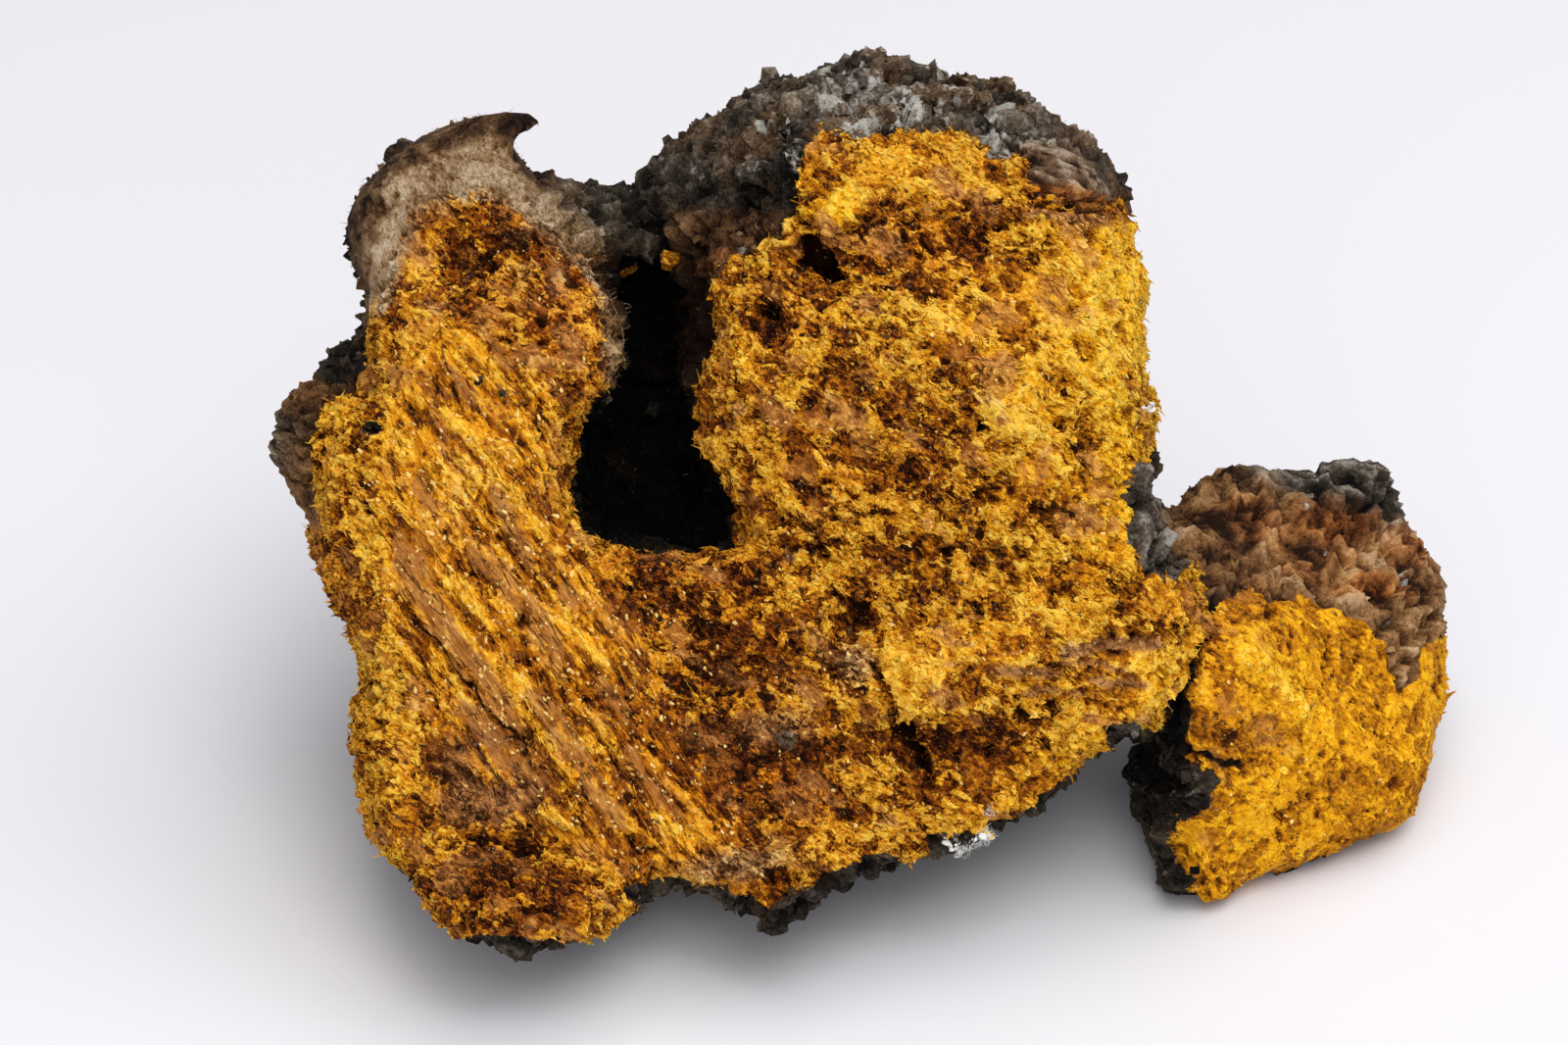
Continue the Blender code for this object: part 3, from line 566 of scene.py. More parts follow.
def evaluated(obj, name):
    graph = bpy.context.evaluated_depsgraph_get()
    mesh = bpy.data.meshes.new_from_object(obj.evaluated_get(graph))
    mesh.name = name
    return mesh


def scratch_object(mesh, name):
    obj = bpy.data.objects.new(name, mesh)
    bpy.context.scene.collection.objects.link(obj)
    return obj


def facing_flesh(points, normals):
    """1 on the surface that plainly faces out of the fracture, else 0."""
    right = np.array((0.62, -0.62, 0.48))
    col, row, depth = to_grid(points)
    plain = (normals @ TOWARD > 0.45) & (depth > -10.5)
    lobe = (col > 1195) & (row > 600) & (normals @ right > 0.42) & (depth > -29.0)
    return plain | lobe


def flesh_weight(points, normals):
    """1 on the fracture and a little way round its edge, 0 on the crust."""
    core = facing_flesh(points, normals)
    tree = KDTree(int(core.sum()))
    for i, p in enumerate(points[core]):
        tree.insert(p, i)
    tree.balance()
    away = np.zeros(len(points))
    rest = np.nonzero(~core)[0]
    away[rest] = [tree.find(p)[2] for p in points[rest]]
    away += 0.9 * grain(points, 3.2, 70) + 0.4 * grain(points, 1.2, 71)
    # It reaches farther round the sides than over the top or underneath.
    col, row, depth = to_grid(points)
    reach = WRAP + 2.6 * step(np.abs(normals[:, 0]), 0.35, 0.8)
    reach += 6.0 * oval(col, row, 1180, 290, 50, 170, 0, 4.0) + 4.0 * oval(col, row, 400, 940, 80, 60, 35, 3.0)
    reach += 7.0 * oval(col, row, 330, 710, 70, 250, 0, 5.0)
    reach -= 1.9 * in_hollow(col, row, depth)
    return np.where(core, 1.0, 1.0 - step(away, reach - 0.4, reach + 0.4))


def thin_rim(col, row):
    """1 where the crust behind the fracture hardly shows past its edge."""
    return np.clip(oval(col, row, 330, 700, 80, 260, 0, 5.0) + oval(col, row, 1184, 300, 44, 140, 0, 4.0)
                   + oval(col, row, 390, 940, 70, 50, 35, 3.0), 0, 1)


def behind_nose(col, depth):
    """1 on the lobe, 0 on the nose that stands in front of it."""
    return np.where(col < 1250, step(-depth, 5.4, 6.8), 1.0)


def in_hollow(col, row, depth):
    """1 on the walls of the hollow between the arm and the dome."""
    outline = [(585, 262), (640, 262), (690, 268), (724, 290), (728, 360), (716, 400), (740, 500), (770, 560),
               (600, 560), (580, 500), (590, 430), (624, 400)]
    return inside(col, row, outline, 6.0) * (1.0 - step(depth, -9.0, -4.0))


def fine_skin():
    """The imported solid's skin, remade in small even quads, finer on the fracture."""
    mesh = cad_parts["chaga"].data.copy()
    bm = bmesh.new()
    bm.from_mesh(mesh)
    bmesh.ops.remove_doubles(bm, verts=bm.verts, dist=1e-6)
    bm.to_mesh(mesh)
    bm.free()
    obj = scratch_object(mesh, "skin_source")
    skin = obj.modifiers.new("skin", "REMESH")
    skin.mode = "VOXEL"
    skin.voxel_size = SKIN_VOXEL * 0.001
    ease = obj.modifiers.new("ease", "SMOOTH")
    ease.factor = 0.5
    ease.iterations = 9
    fine = evaluated(obj, "fine_skin")
    bpy.data.objects.remove(obj)
    points = array_of(fine, "co") * 1000.0
    near = facing_flesh(points, array_of(fine, "normal"))
    bm = bmesh.new()
    bm.from_mesh(fine)
    bm.verts.ensure_lookup_table()

    def finer(chosen):
        edges = set()
        for face in bm.faces:
            if any(chosen[v.index] for v in face.verts):
                edges.update(face.edges)
        bmesh.ops.subdivide_edges(bm, edges=list(edges), cuts=1, use_grid_fill=True)
        bmesh.ops.triangulate(bm, faces=[f for f in bm.faces if len(f.verts) > 4])
        bm.verts.index_update()
        bm.verts.ensure_lookup_table()

    finer(near)
    # The thin crack, the seam and the deepest grooves need smaller faces still.
    col, row, depth = to_grid(np.array([v.co[:] for v in bm.verts]) * 1000.0)
    away = np.full(len(col), 99.0)
    for line in (CRACK, SEAM, GROOVES[0][3], GROOVES[11][3]):
        away = np.minimum(away, line_distance(col, row, line)[0])
    finer((away < 9.0) & (depth > -22.0))
    bm.to_mesh(fine)
    bm.free()
    fine.update()
    return fine


def turned(q, degrees):
    """Coordinates along and across a fibre direction that falls by degrees to the right."""
    a = math.radians(degrees)
    along = q[:, 0] * math.cos(a) - q[:, 1] * math.sin(a)
    across = q[:, 0] * math.sin(a) + q[:, 1] * math.cos(a)
    return along, across


def fibres(q, degrees, length, width, seed):
    along, across = turned(q, degrees)
    return grain(np.stack((along / length, across / width, q[:, 2] / (2.0 * width)), 1), 1.0, seed)


def drawn(q, degrees, stretch):
    """Coordinates drawn out along fibres that fall by degrees to the right."""
    along, across = turned(q, degrees)
    return np.stack((along / stretch, across, q[:, 2]), 1)


def combed(q, stretch):
    """Coordinates along the long fibres of the left side, which fall more gently to the right."""
    along, across = turned(q - np.array(((520 - MID_COL) * PITCH, (MID_ROW - 650) * PITCH, 0.0)), 56)
    return np.stack((along / stretch, across - 0.0044 * along * np.abs(along), q[:, 2]), 1)


def even(values, low=-2.5, high=2.5):
    """The same field with mean 0 and spread 1."""
    return np.clip((values - values.mean()) / values.std(), low, high)


def relief(points, normals):
    """Height in mm along the normal, and the values that the materials read."""
    col0, row0, depth = to_grid(points)
    k = PITCH
    q = np.stack(((col0 - MID_COL) * k, (MID_ROW - row0) * k, depth), 1)
    # Landmark edges wander a little, as torn edges do.
    wander = np.stack((grain(q, 1.5, 1), grain(q, 1.5, 2)), 1) * 3.0
    wander += np.stack((grain(q, 0.7, 3), grain(q, 0.7, 4)), 1) * 1.6
    wide = np.stack((grain(q, 4.0, 5), grain(q, 4.0, 6)), 1) * 8.0
    col, row = col0 + wander[:, 0], row0 + wander[:, 1]
    facing = normals @ TOWARD
    front = step(facing, -0.05, 0.25) * step(depth, -31.0, -26.0)

    # Where the crust is.
    crust = 1.0 - flesh_weight(points, normals)
    painted = np.zeros(len(points))
    behind = behind_nose(col0, depth)
    for outline, soft in CRUST_PATCHES:
        share = inside(col, row, outline, soft)
        painted = np.maximum(painted, share * behind if outline is LOBE_TOP else share)
    crust = np.maximum(crust, painted * step(depth, -36.0, -30.0))
    flesh = 1.0 - crust

    # Zones of the fracture.
    fib = inside(col + wide[:, 0], row + wide[:, 1],
                 [(385, 420), (470, 330), (560, 400), (590, 560), (650, 640), (700, 760), (760, 860),
                  (700, 905), (610, 880), (520, 830), (440, 740), (395, 620)], 26.0)
    sponge = np.clip(
        inside(col + wide[:, 0], row + wide[:, 1],
               [(700, 130), (1180, 130), (1190, 560), (1240, 600), (1180, 760), (860, 860), (700, 560)], 30.0)
        + inside(col, row, [(1190, 600), (1500, 600), (1500, 940), (1190, 940)], 12.0), 0, 1)
    honey = inside(col + wide[:, 0], row + wide[:, 1],
                   [(1290, 620), (1400, 640), (1450, 710), (1450, 830), (1320, 880), (1230, 900),
                    (1250, 800), (1330, 760), (1290, 690)], 16.0)
    dark = np.clip(oval(col, row, 735, 670, 84, 110, 0, 1.5) + oval(col, row, 790, 790, 80, 56, 0, 1.5), 0, 1)
    arm_top = inside(col + wide[:, 0], row + wide[:, 1],
                     [(380, 180), (560, 170), (640, 260), (640, 420), (560, 400), (480, 330), (380, 330)], 22.0)

    # Noise fields shared by shape and colour.
    warp = np.stack((grain(q, 1.5, 20), grain(q, 1.5, 21), grain(q, 1.5, 22)), 1)
    flick = np.stack((grain(q, 0.6, 45), grain(q, 0.6, 46), grain(q, 0.6, 47)), 1)
    qw = q + 0.5 * warp + 0.12 * flick
    lumps = grain(q, 4.6, 23)
    knobs = grain(qw, 2.1, 24)
    grit = grain(qw, 1.0, 25)
    fine = grain(q, 0.55, 26)
    tiny = grain(q, 0.36, 29)
    g1, g2, comb_pick, _ = cells(q + 0.25 * warp, 1.05, 28)
    comb_wall = 1.0 - step(g2 - g1, 0.02, 0.30)
    comb_hole = (1.0 - step(g1, 0.14, 0.38)) * step(comb_pick, 0.25, 0.35)
    crumb_near, crumb_next, crumb_pick, _ = cells(q + 0.2 * warp + 0.08 * flick, 0.60, 140)
    crumb = np.clip(1.0 - crumb_near / 0.55, 0, 1)
    crumb_gap = 1.0 - step(crumb_next - crumb_near, 0.03, 0.16)

    # The torn fibres run three ways: steeply on the left, slantwise over the dome and
    # almost level on the nose.
    nose = oval(col, row, 1110, 678, 100, 30, 0, 2.0)
    shelf = inside(col, row, [(1040, 160), (1140, 160), (1150, 226), (1044, 214)], 6.0)
    level_part = np.clip(nose + shelf, 0, 1)
    plain = 1.0 - fib
    torn, thread = np.zeros(len(points)), np.zeros(len(points))
    for part, degrees, stretch, seed in ((fib, 54, 3.0, 100), (plain * (1.0 - level_part), 34, 1.7, 110),
                                         (plain * level_part, 4, 4.0, 120)):
        torn += part * even(ridged(drawn(qw, degrees, stretch), 1.5, 3, seed))
        thread += part * even(grain(drawn(q + 0.2 * warp + 0.1 * flick, degrees, stretch * 1.4), 0.40, seed + 5))
    # Long strands, with narrow gaps between them, run down the left side.
    strand_a = grain(combed(q + 0.22 * warp, 9.0), 0.62, 130)
    strand_b = grain(combed(q + 0.16 * warp, 7.0), 1.15, 131)
    strand_c = grain(combed(q + 0.06 * warp, 12.0), 0.34, 132)
    strands = even(strand_a + 0.9 * strand_b + 0.5 * strand_c)
    slit = (1.0 - step(np.abs(strand_b + 0.25 * strand_a), 0.0, 0.16)) * step(grain(q, 2.4, 133), -0.12, 0.12)
    stranded = np.clip(fib - 0.75 * arm_top, 0, 1)
    # Plates of flesh end in torn lips.
    plates = (0.95 * grain(drawn(qw, 38, 1.5), 2.8, 48) + 0.45 * grain(qw, 1.25, 49)) / 0.30 + 20.0
    part = plates - np.floor(plates)
    stair = np.floor(plates) - 20.0 + step(part, 0.66, 0.98)
    lip = 1.0 - step(part, 0.02, 0.20)
    foot = np.exp(-(((part - 0.62) / 0.10) ** 2))
    ragged = plain * (1.0 - 0.8 * honey) * (1.0 - level_part)
    # Small holes, a few larger ones, and smooth facets left by pulled fibres.
    hole_field = even(grain(q + 0.22 * warp + 0.1 * flick, 0.80, 41))
    hole_field += 0.55 * even(grain(q, 3.0, 42)) - 0.5 * fib - 0.35 * lumps
    hole = step(hole_field, 1.05, 1.75)
    cave = step(even(grain(qw, 1.9, 43)) + 0.3 * even(grain(q, 5.0, 44)), 1.45, 2.1) * (1.0 - 0.7 * fib) * (1.0 - 0.8 * honey)
    f1, f2, facet_pick, _ = cells(drawn(qw, 34, 1.7), 1.6, 72)
    facet = step(facet_pick, 0.80, 0.82) * step(f2 - f1, 0.04, 0.10) * (0.85 * plain + 0.30 * fib) * (1.0 - honey)
    lobe = inside(col, row, LOBE_FACE, 10.0)
    granular = np.clip(0.9 * plain + 0.3 * fib, 0, 1) * (1.0 - 0.8 * lobe)
    lively = 1.0 - 0.45 * lobe

    bias = np.zeros(len(points))
    for c, r, half_w, half_h, turn, value, power in TONES:
        bias += value * oval(col + wide[:, 0] * 0.4, row + wide[:, 1] * 0.4, c, r, half_w, half_h, turn, power)
    bias = 0.75 * np.tanh(bias / 0.75)
    # Bright powder lies smoother, and some stretches are less torn than others.
    quiet = np.clip(0.7 * step(bias, 0.06, 0.30) + 0.6 * step(grain(q, 5.5, 150) + 0.4 * grain(q, 2.2, 151), 0.10, 0.34), 0, 0.85)
    keep = 1.0 - 0.6 * quiet
    score = 0.55 * torn + 0.30 * knobs + 0.35 * grit + 0.30 * fine + 0.60 * even(grain(qw, 3.0, 35))
    score += stranded * (0.8 * strands + 0.55 * even(grain(combed(qw, 4.0), 1.7, 135)) + 0.2 * grit - score)
    score += 2.1 * bias
    powder = step(score, -0.26, 0.26)
    height = (1.0 - 0.62 * lobe) * (
        0.34 * lumps
        + (0.15 - 0.08 * fib) * knobs
        + (0.17 - 0.10 * fib) * grit * keep
        + (0.13 - 0.05 * fib) * fine * keep
        + 0.08 * tiny * keep
        + 0.18 * (powder - 0.5)
        + 0.13 * torn
        + 0.055 * thread
        + ragged * 0.16 * stair
        + stranded * (0.15 * strands - 0.28 * slit)
        + granular * (0.13 * crumb - 0.07 * crumb_gap) * keep
        - 0.42 * hole * keep
        - 0.85 * cave * keep
    )
    height += honey * (0.09 * comb_wall - 0.27 * comb_hole)
    # The material adds the powder's own light and dark, with sharper edges, from the score.
    # Here the tone is darkened in holes, caves, comb holes, the gaps between crumbs, the slits
    # between strands and the feet of torn lips, as painted shade, and lightened on the lips, as painted highlight.
    tone = (
        0.645
        - 0.10 * lobe
        - 0.05 * dark
        + 0.46 * bias
        + (0.065 - 0.02 * fib) * lively * torn
        + 0.055 * lively * thread
        + 0.06 * lively * grit * keep
        + 0.08 * lively * fine * keep
        + 0.06 * lively * tiny * keep
        + ragged * (0.13 * lip - 0.17 * foot) * lively * keep
        + stranded * (0.09 * strands - 0.22 * slit)
        + granular * (0.14 * (crumb_pick - 0.5) - 0.10 * crumb_gap) * keep
        - 0.34 * hole * keep
        - 0.32 * cave * keep
        + honey * (0.07 * comb_wall - 0.25 * comb_hole)
    )
    score = np.clip(score, -1.5, 1.5)
    tan = np.zeros(len(points))
    for half, points_ in BANDS:
        d, along = line_distance(col, row, points_)
        ends = step(along, 0.0, 0.16) * step(1.0 - along, 0.0, 0.16)
        width = half * (0.25 + 0.75 * ends) * (0.9 + 0.3 * grain(q, 2.5, 36)) + 2.2 * grain(combed(q, 5.0), 0.7, 68)
        tan = np.maximum(tan, 1.0 - step(d, width - 0.9, width + 0.9))
    tan *= 1.0 - 0.8 * step(grain(combed(q, 7.0), 0.50, 37), 0.30, 0.42)
    strip = np.zeros(len(points))
    for half, points_, amount in STRIPS:
        d, _ = line_distance(col, row, points_)
        d = d + 1.6 * grain(drawn(q, 4, 6.0), 0.5, 141)
        strip = np.maximum(strip, amount * (1.0 - step(d, half * 0.8, half * 1.15)))
    lines = strip * grain(drawn(q, 4, 7.0), 0.28, 170)
    tan = np.maximum(tan, strip)
    smooth = np.clip(tan + 0.8 * facet, 0, 1)
    height = height * (1.0 - 0.6 * smooth) + 0.10 * smooth + tan * 0.07 * thread - 0.12 * facet - 0.15 * strip + 0.26 * lines
    tone = tone * (1.0 - 0.60 * smooth) + 0.60 * smooth * (0.45 + 0.11 * tan) - 0.16 * strip + 0.45 * lines
    # Grooves and pits are cut in and darkened, partly as painted shade; ridges are raised and lightened, partly as
    # painted highlight.
    for half, deep, darkness, points_ in GROOVES:
        d, along = line_distance(col, row, points_)
        ends = step(along, 0.0, 0.12) * step(1.0 - along, 0.0, 0.12)
        cut = (1.0 - step(d, 0.0, half * (1.1 + 0.4 * grain(q, 1.4, 69)))) * ends
        height -= deep * cut
        tone -= darkness * cut * 0.8
        tan *= 1.0 - 0.8 * cut
    for c, r, radius, deep, darkness in PITS:
        d = np.hypot(col - c, row - r)
        d = d + 0.35 * radius * grain(q, 0.9, 73)
        cut = 1.0 - step(d, radius * 0.45, radius * 1.05)
        height -= deep * cut
        tone -= darkness * 0.62 * cut
        tan *= 1.0 - cut
    for half, rise, value, points_ in RIDGES:
        d, along = line_distance(col, row, points_)
        ends = step(along, 0.0, 0.12) * step(1.0 - along, 0.0, 0.12)
        lift = np.exp(-((d / half) ** 2)) * ends
        height += rise * lift
        tone += value * lift
    tan = np.maximum(tan, 0.85 * facet)
    reachable = step(depth, -28.0, -22.0)
    # The crack is cut in, darkened and counted as crust: painted shade in the narrow fissure.
    d, along = line_distance(col0 + 0.4 * wander[:, 0], row0, CRACK)
    crack = (1.0 - step(d, 1.5, 3.6 + 4.0 * along)) * reachable
    height -= 2.2 * crack
    tone -= 1.2 * crack
    # Dark crust clogs the crack's lower end, above the black flank.
    clot = oval(col0 + 0.6 * wander[:, 0], row0 + 0.6 * wander[:, 1], 1202, 737, 13, 25, 22, 3.0) * reachable
    height -= 0.5 * clot
    d, along = line_distance(col0 + 0.6 * wander[:, 0], row0 + 0.8 * wander[:, 1], SEAM)
    d = d + 3.0 * grain(q, 0.6, 147)
    seam = (1.0 - step(d, 2.0, 4.6)) * reachable * step(1.0 - along, 0.0, 0.2)
    height -= 0.5 * seam
    tone -= 1.2 * seam

    rust = np.zeros(len(points))
    for c, r, half_w, half_h, turn, amount in RUSTY:
        rust += amount * oval(col + 0.4 * wide[:, 0], row + 0.4 * wide[:, 1], c, r, half_w, half_h, turn, 1.6)
    rust += 0.45 * dark + 0.5 * arm_top + 0.7 * shelf
    rust = np.clip(rust * (0.85 + 0.7 * grain(q, 1.6, 38)), 0, 1)
    tone -= 0.10 * shelf
    hot = np.zeros(len(points))
    for c, r, half_w, half_h, turn, amount in HOT_SPOTS:
        hot = np.maximum(hot, amount * oval(col + 0.5 * wide[:, 0], row + 0.3 * wide[:, 1], c, r, half_w, half_h, turn, 2.0))
    rust = rust * flesh + hot * crust
    lemon = np.clip(
        step(col + 40 * grain(q, 6.0, 39), 980, 1180) * 0.85 + oval(col, row, 850, 215, 26, 30, 0, 1.5), 0, 1)
    lemon *= 1.0 - 0.65 * oval(col, row, 1120, 650, 150, 110, 0, 3.0)
    # The weathered band over the arm and down its sides is pale and fibrous.
    pink = inside(col + 0.6 * wide[:, 0], row + 0.6 * wide[:, 1],
                  [(372, 330), (366, 270), (366, 222), (374, 190), (398, 164), (430, 146), (470, 134),
                   (505, 130), (522, 146), (528, 166), (546, 186), (572, 212), (596, 236), (614, 262),
                   (622, 290), (628, 330), (628, 392), (621, 392), (622, 340), (612, 298), (584, 258),
                   (554, 236), (522, 214), (494, 202), (458, 208), (432, 224), (416, 250), (404, 284),
                   (394, 320)], 6.0)
    outer = inside(col, row, [(330, 335), (330, 200), (400, 120), (500, 80), (590, 80), (576, 150), (566, 206),
                              (540, 180), (524, 150), (500, 139), (440, 153), (398, 186), (378, 250),
                              (376, 335)], 6.0) * step(depth, -26.0, -18.0)
    pink = np.clip(pink * (0.95 + 0.7 * grain(q, 1.4, 40) + 0.35 * grain(q, 0.6, 142)), 0, 1)
    pink *= step(depth, -26.0, -18.0) * (1.0 - 0.8 * outer)
    pink = np.maximum(pink, 0.6 * front * oval(col, row, 568, 244, 62, 44, 35, 1.6)
                      * step(grain(q, 1.3, 160) + 0.5 * grain(q, 0.5, 161), 0.04, 0.24))
    pink = np.maximum(pink, np.maximum(0.12 * facet * step(facet_pick, 0.90, 0.91), 0.35 * strip))
    pink = np.maximum(pink, 0.4 * oval(col, row, 500, 800, 56, 46, 15, 1.8) * (1.0 - powder))
    pink = np.maximum(pink, 0.55 * oval(col, row, 872, 676, 20, 20, 0, 2.0))
    pink = np.maximum(pink, 0.6 * oval(col, row, 752, 882, 52, 16, -8, 1.8))
    pink = np.maximum(pink, 0.35 * oval(col, row, 790, 745, 40, 20, 0, 1.8))

    # Crust: cracked blocks, layers, lumps and grit, from the resting-frame place.
    push = np.stack((grain(points, 2.6, 50), grain(points, 2.6, 51), grain(points, 2.6, 52)), 1)
    push += 0.5 * np.stack((grain(points, 1.2, 61), grain(points, 1.2, 62), grain(points, 1.2, 63)), 1)
    w = points + 0.8 * push
    b1, b2, block, way = cells(w * np.array((1.0, 1.0, 1.3)), 5.2, 53)
    gap = 1.0 - step(b2 - b1, 0.01, 0.11)
    tilt = (way * (GRADIENTS[(block * 255).astype(int)])).sum(1)
    s1, s2, small, small_way = cells(w * np.array((1.0, 1.0, 1.4)), 2.2, 54)
    small_gap = 1.0 - step(s2 - s1, 0.01, 0.14)
    small_tilt = (small_way * (GRADIENTS[(small * 255).astype(int)])).sum(1)
    c_lumps = grain(w, 2.4, 55)
    c_grit = grain(points, 1.1, 56)
    c_fine = grain(points, 0.7, 57)
    c_crest = ridged(w, 1.7, 3, 92)
    # Growth layers lie level, as on the back of the dome.
    layer = points[:, 2] + 0.9 * c_lumps + 0.25 * c_grit
    layer = (layer / 1.5) % 1.0
    layer = step(layer, 0.0, 0.75) - step(layer, 0.82, 1.0)
    layered = step(grain(points, 14.0, 64) + 0.25, 0.0, 0.5)
    flank = inside(col0, row0, [(640, 190), (800, 170), (800, 250), (730, 300), (725, 420), (640, 300)], 14.0)
    lobe_top = inside(col0, row0, LOBE_TOP, 10.0) * step(depth, -44.0, -36.0) * behind
    layered = np.maximum(np.maximum(layered, flank), 0.9 * lobe_top)
    soft_crust = inside(col0, row0, CRUST_PATCHES[0][0], 8.0) * step(depth, -20, -14)
    ledge = inside(col, row, SHELF_CRUST, 3.0) * step(depth, -14.0, -9.0)
    soft_crust = np.maximum(soft_crust, ledge)
    blocky = (1.0 - 0.85 * soft_crust) * (1.0 - 0.25 * lobe_top)
    leaf = (row + 2.5 * grain(drawn(q, 12, 4.0), 1.0, 143) + 7.0 * grain(drawn(q, 12, 2.0), 2.4, 148) - 0.22 * (col - 1046)) / 9.0
    leaf -= np.floor(leaf)
    leaves = ledge * (step(leaf, 0.0, 0.7) - step(leaf, 0.8, 1.0))
    leaf_gap = ledge * (1.0 - step(np.abs(leaf - 0.95), 0.04, 0.16))
    gentle = 1.0 - 0.55 * soft_crust
    c_height = (
        blocky * (1.0 - 0.45 * lobe_top) * (1.25 * (block - 0.5) + 1.5 * tilt - 0.9 * gap)
        + blocky * (1.0 - 0.7 * lobe_top) * (0.50 * (small - 0.5) + 0.75 * small_tilt - 0.35 * small_gap)
        + blocky * layered * (0.65 + 0.75 * lobe_top) * (layer - 0.5)
        + (0.20 + 0.15 * blocky) * gentle * (1.0 - 0.5 * lobe_top) * (c_crest - 0.4)
        + (0.16 + 0.20 * blocky) * gentle * c_lumps
    )
    # The blocks break off in steps.
    flight = c_height / 0.62 + 20.0
    part = flight - np.floor(flight)
    stepped = (np.floor(flight) - 20.0 + step(part, 0.45, 0.95)) * 0.62
    broken = blocky * (0.55 + 0.25 * lobe_top)
    c_height += broken * (stepped - c_height)
    c_foot = broken * np.exp(-(((part - 0.42) / 0.12) ** 2))
    c_lip = broken * (1.0 - step(part, 0.03, 0.22))
    grainy = gentle * (1.0 - 0.5 * flank)
    c_height += grainy * (0.17 * c_grit + 0.17 * c_fine + 0.12 * grain(points, 0.45, 66)) + 0.50 * leaves
    c_streak = grain(drawn(q + 0.2 * warp, 8, 3.5), 0.55, 152)
    c_height += lobe_top * (0.22 * c_streak + 0.16 * grain(q, 0.42, 153))
    # The outline seen from the front is set by the solid, so the blocks are lower there.
    rim = 1.0 - 0.3 * np.exp(-((facing / 0.25) ** 2))
    thin = thin_rim(col0, row0)
    c_height = c_height * rim * (1.0 - 0.6 * thin) - 0.5 * thin
    hollow = in_hollow(col0, row0, depth)
    # The blocks' lips are lightened and their feet darkened, as painted highlight and painted shade, and the hollow's
    # walls are darkened as painted shade.
    c_tone = (0.48 + 0.16 * (block - 0.5) + 0.2 * (small - 0.5) + 0.12 * c_lumps + 0.14 * c_grit + 0.10 * c_fine
              + 0.22 * (c_crest - 0.4) - 0.30 * gap - 0.2 * small_gap + 0.15 * grain(points, 9.0, 65)
              - 0.50 * hollow + 0.14 * soft_crust - 0.22 * outer - 0.55 * leaf_gap + 0.12 * lobe_top
              + 0.12 * ledge + 0.25 * soft_crust * grain(q, 0.8, 144) - 0.22 * c_foot + 0.14 * c_lip
              + lobe_top * (0.45 * grain(w, 3.0, 146) + 0.25 * (layer - 0.5)))
    c_tone -= 0.25 * oval(col, row, 548, 122, 30, 16, 0, 2.0)
    c_tone -= 0.26 * lobe_top * oval(col, row, 1252, 570, 44, 62, 0, 2.0)
    # The black block at the lobe's top right is darker in its own colour; the darkening over the left part of the
    # lobe's top, at (1214, 518), is painted shade.
    c_tone -= lobe_top * (0.16 * oval(col, row, 1384, 506, 46, 34, 0, 3.0) + 0.16 * oval(col, row, 1214, 518, 34, 44, 0, 2.0))
    seen = step(facing, -0.05, 0.25)
    c_tone += 0.09 * oval(col, row, 930, 96, 130, 36, 0, 2.0) * seen
    # The lobe's flank by the gap under the nose is darker still on its front: painted shade of the gap.
    c_tone -= 0.16 * flank + 0.20 * oval(col, row, 1180, 850, 54, 90, 0, 3.0) * front
    c_tone -= 0.13 * front * inside(col0, row0, [(540, 186), (600, 190), (640, 240), (640, 330), (610, 290), (566, 218)], 8.0)
    c_tone += ledge * (0.65 * grain(drawn(q, 12, 2.0), 0.9, 149) + 0.40 * (leaf - 0.5) - 0.20)
    c_tone += 0.13 * pink
    c_tone += 0.14 * oval(col, row, 1178, 520, 26, 60, 0, 2.0) + 0.12 * oval(col, row, 1190, 568, 40, 26, 0, 2.0)
    c_tone += (0.14 * oval(col, row, 690, 205, 70, 46, 0, 2.0) - 0.10 * oval(col, row, 742, 238, 64, 32, 0, 2.0)) * seen
    c_tone -= 0.6 * crack + 0.4 * seam + 0.25 * clot
    c_tone += 0.35 * lobe_top * c_streak

    total = flesh * height + crust * c_height
    # The lobe's black flank swells into the gap under the nose.
    swell = inside(col0, row0, [(1118, 772), (1216, 766), (1246, 800), (1240, 850), (1216, 918), (1190, 918), (1146, 880), (1118, 810)], 12.0)
    total += 1.9 * swell * crust * step(-depth, 7.0, 10.0) * (1.0 - step(-depth, 34.0, 42.0))
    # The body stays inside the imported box.
    total -= 0.25
    umber = np.clip(
        inside(col0 + wide[:, 0], row0 + wide[:, 1],
               [(1190, 480), (1240, 470), (1420, 540), (1480, 560), (1490, 720), (1420, 700), (1380, 625),
                (1260, 600), (1190, 620)], 14.0) * step(depth, -40.0, -34.0) * behind
        + 0.65 * inside(col0, row0, [(690, 215), (800, 215), (790, 250), (720, 300), (725, 400), (690, 400)], 8.0)
        + soft_crust * (0.8 - 0.35 * outer - 0.45 * ledge)
        + oval(col0, row0, 330, 700, 80, 260, 0, 5.0)
        + inside(col0, row0, [(280, 385), (380, 385), (340, 420), (280, 420)], 8.0) * 0.8, 0, 1)
    upward = step(normals[:, 2], 0.1, 0.95)
    crown = step(points[:, 2], 34.0, 50.0) * step(points[:, 0], -22.0, -12.0)
    c_tone += 0.10 * crown
    umber = np.maximum(umber, 0.28 * crown * step(grain(points, 5.0, 145), -0.2, 0.3))
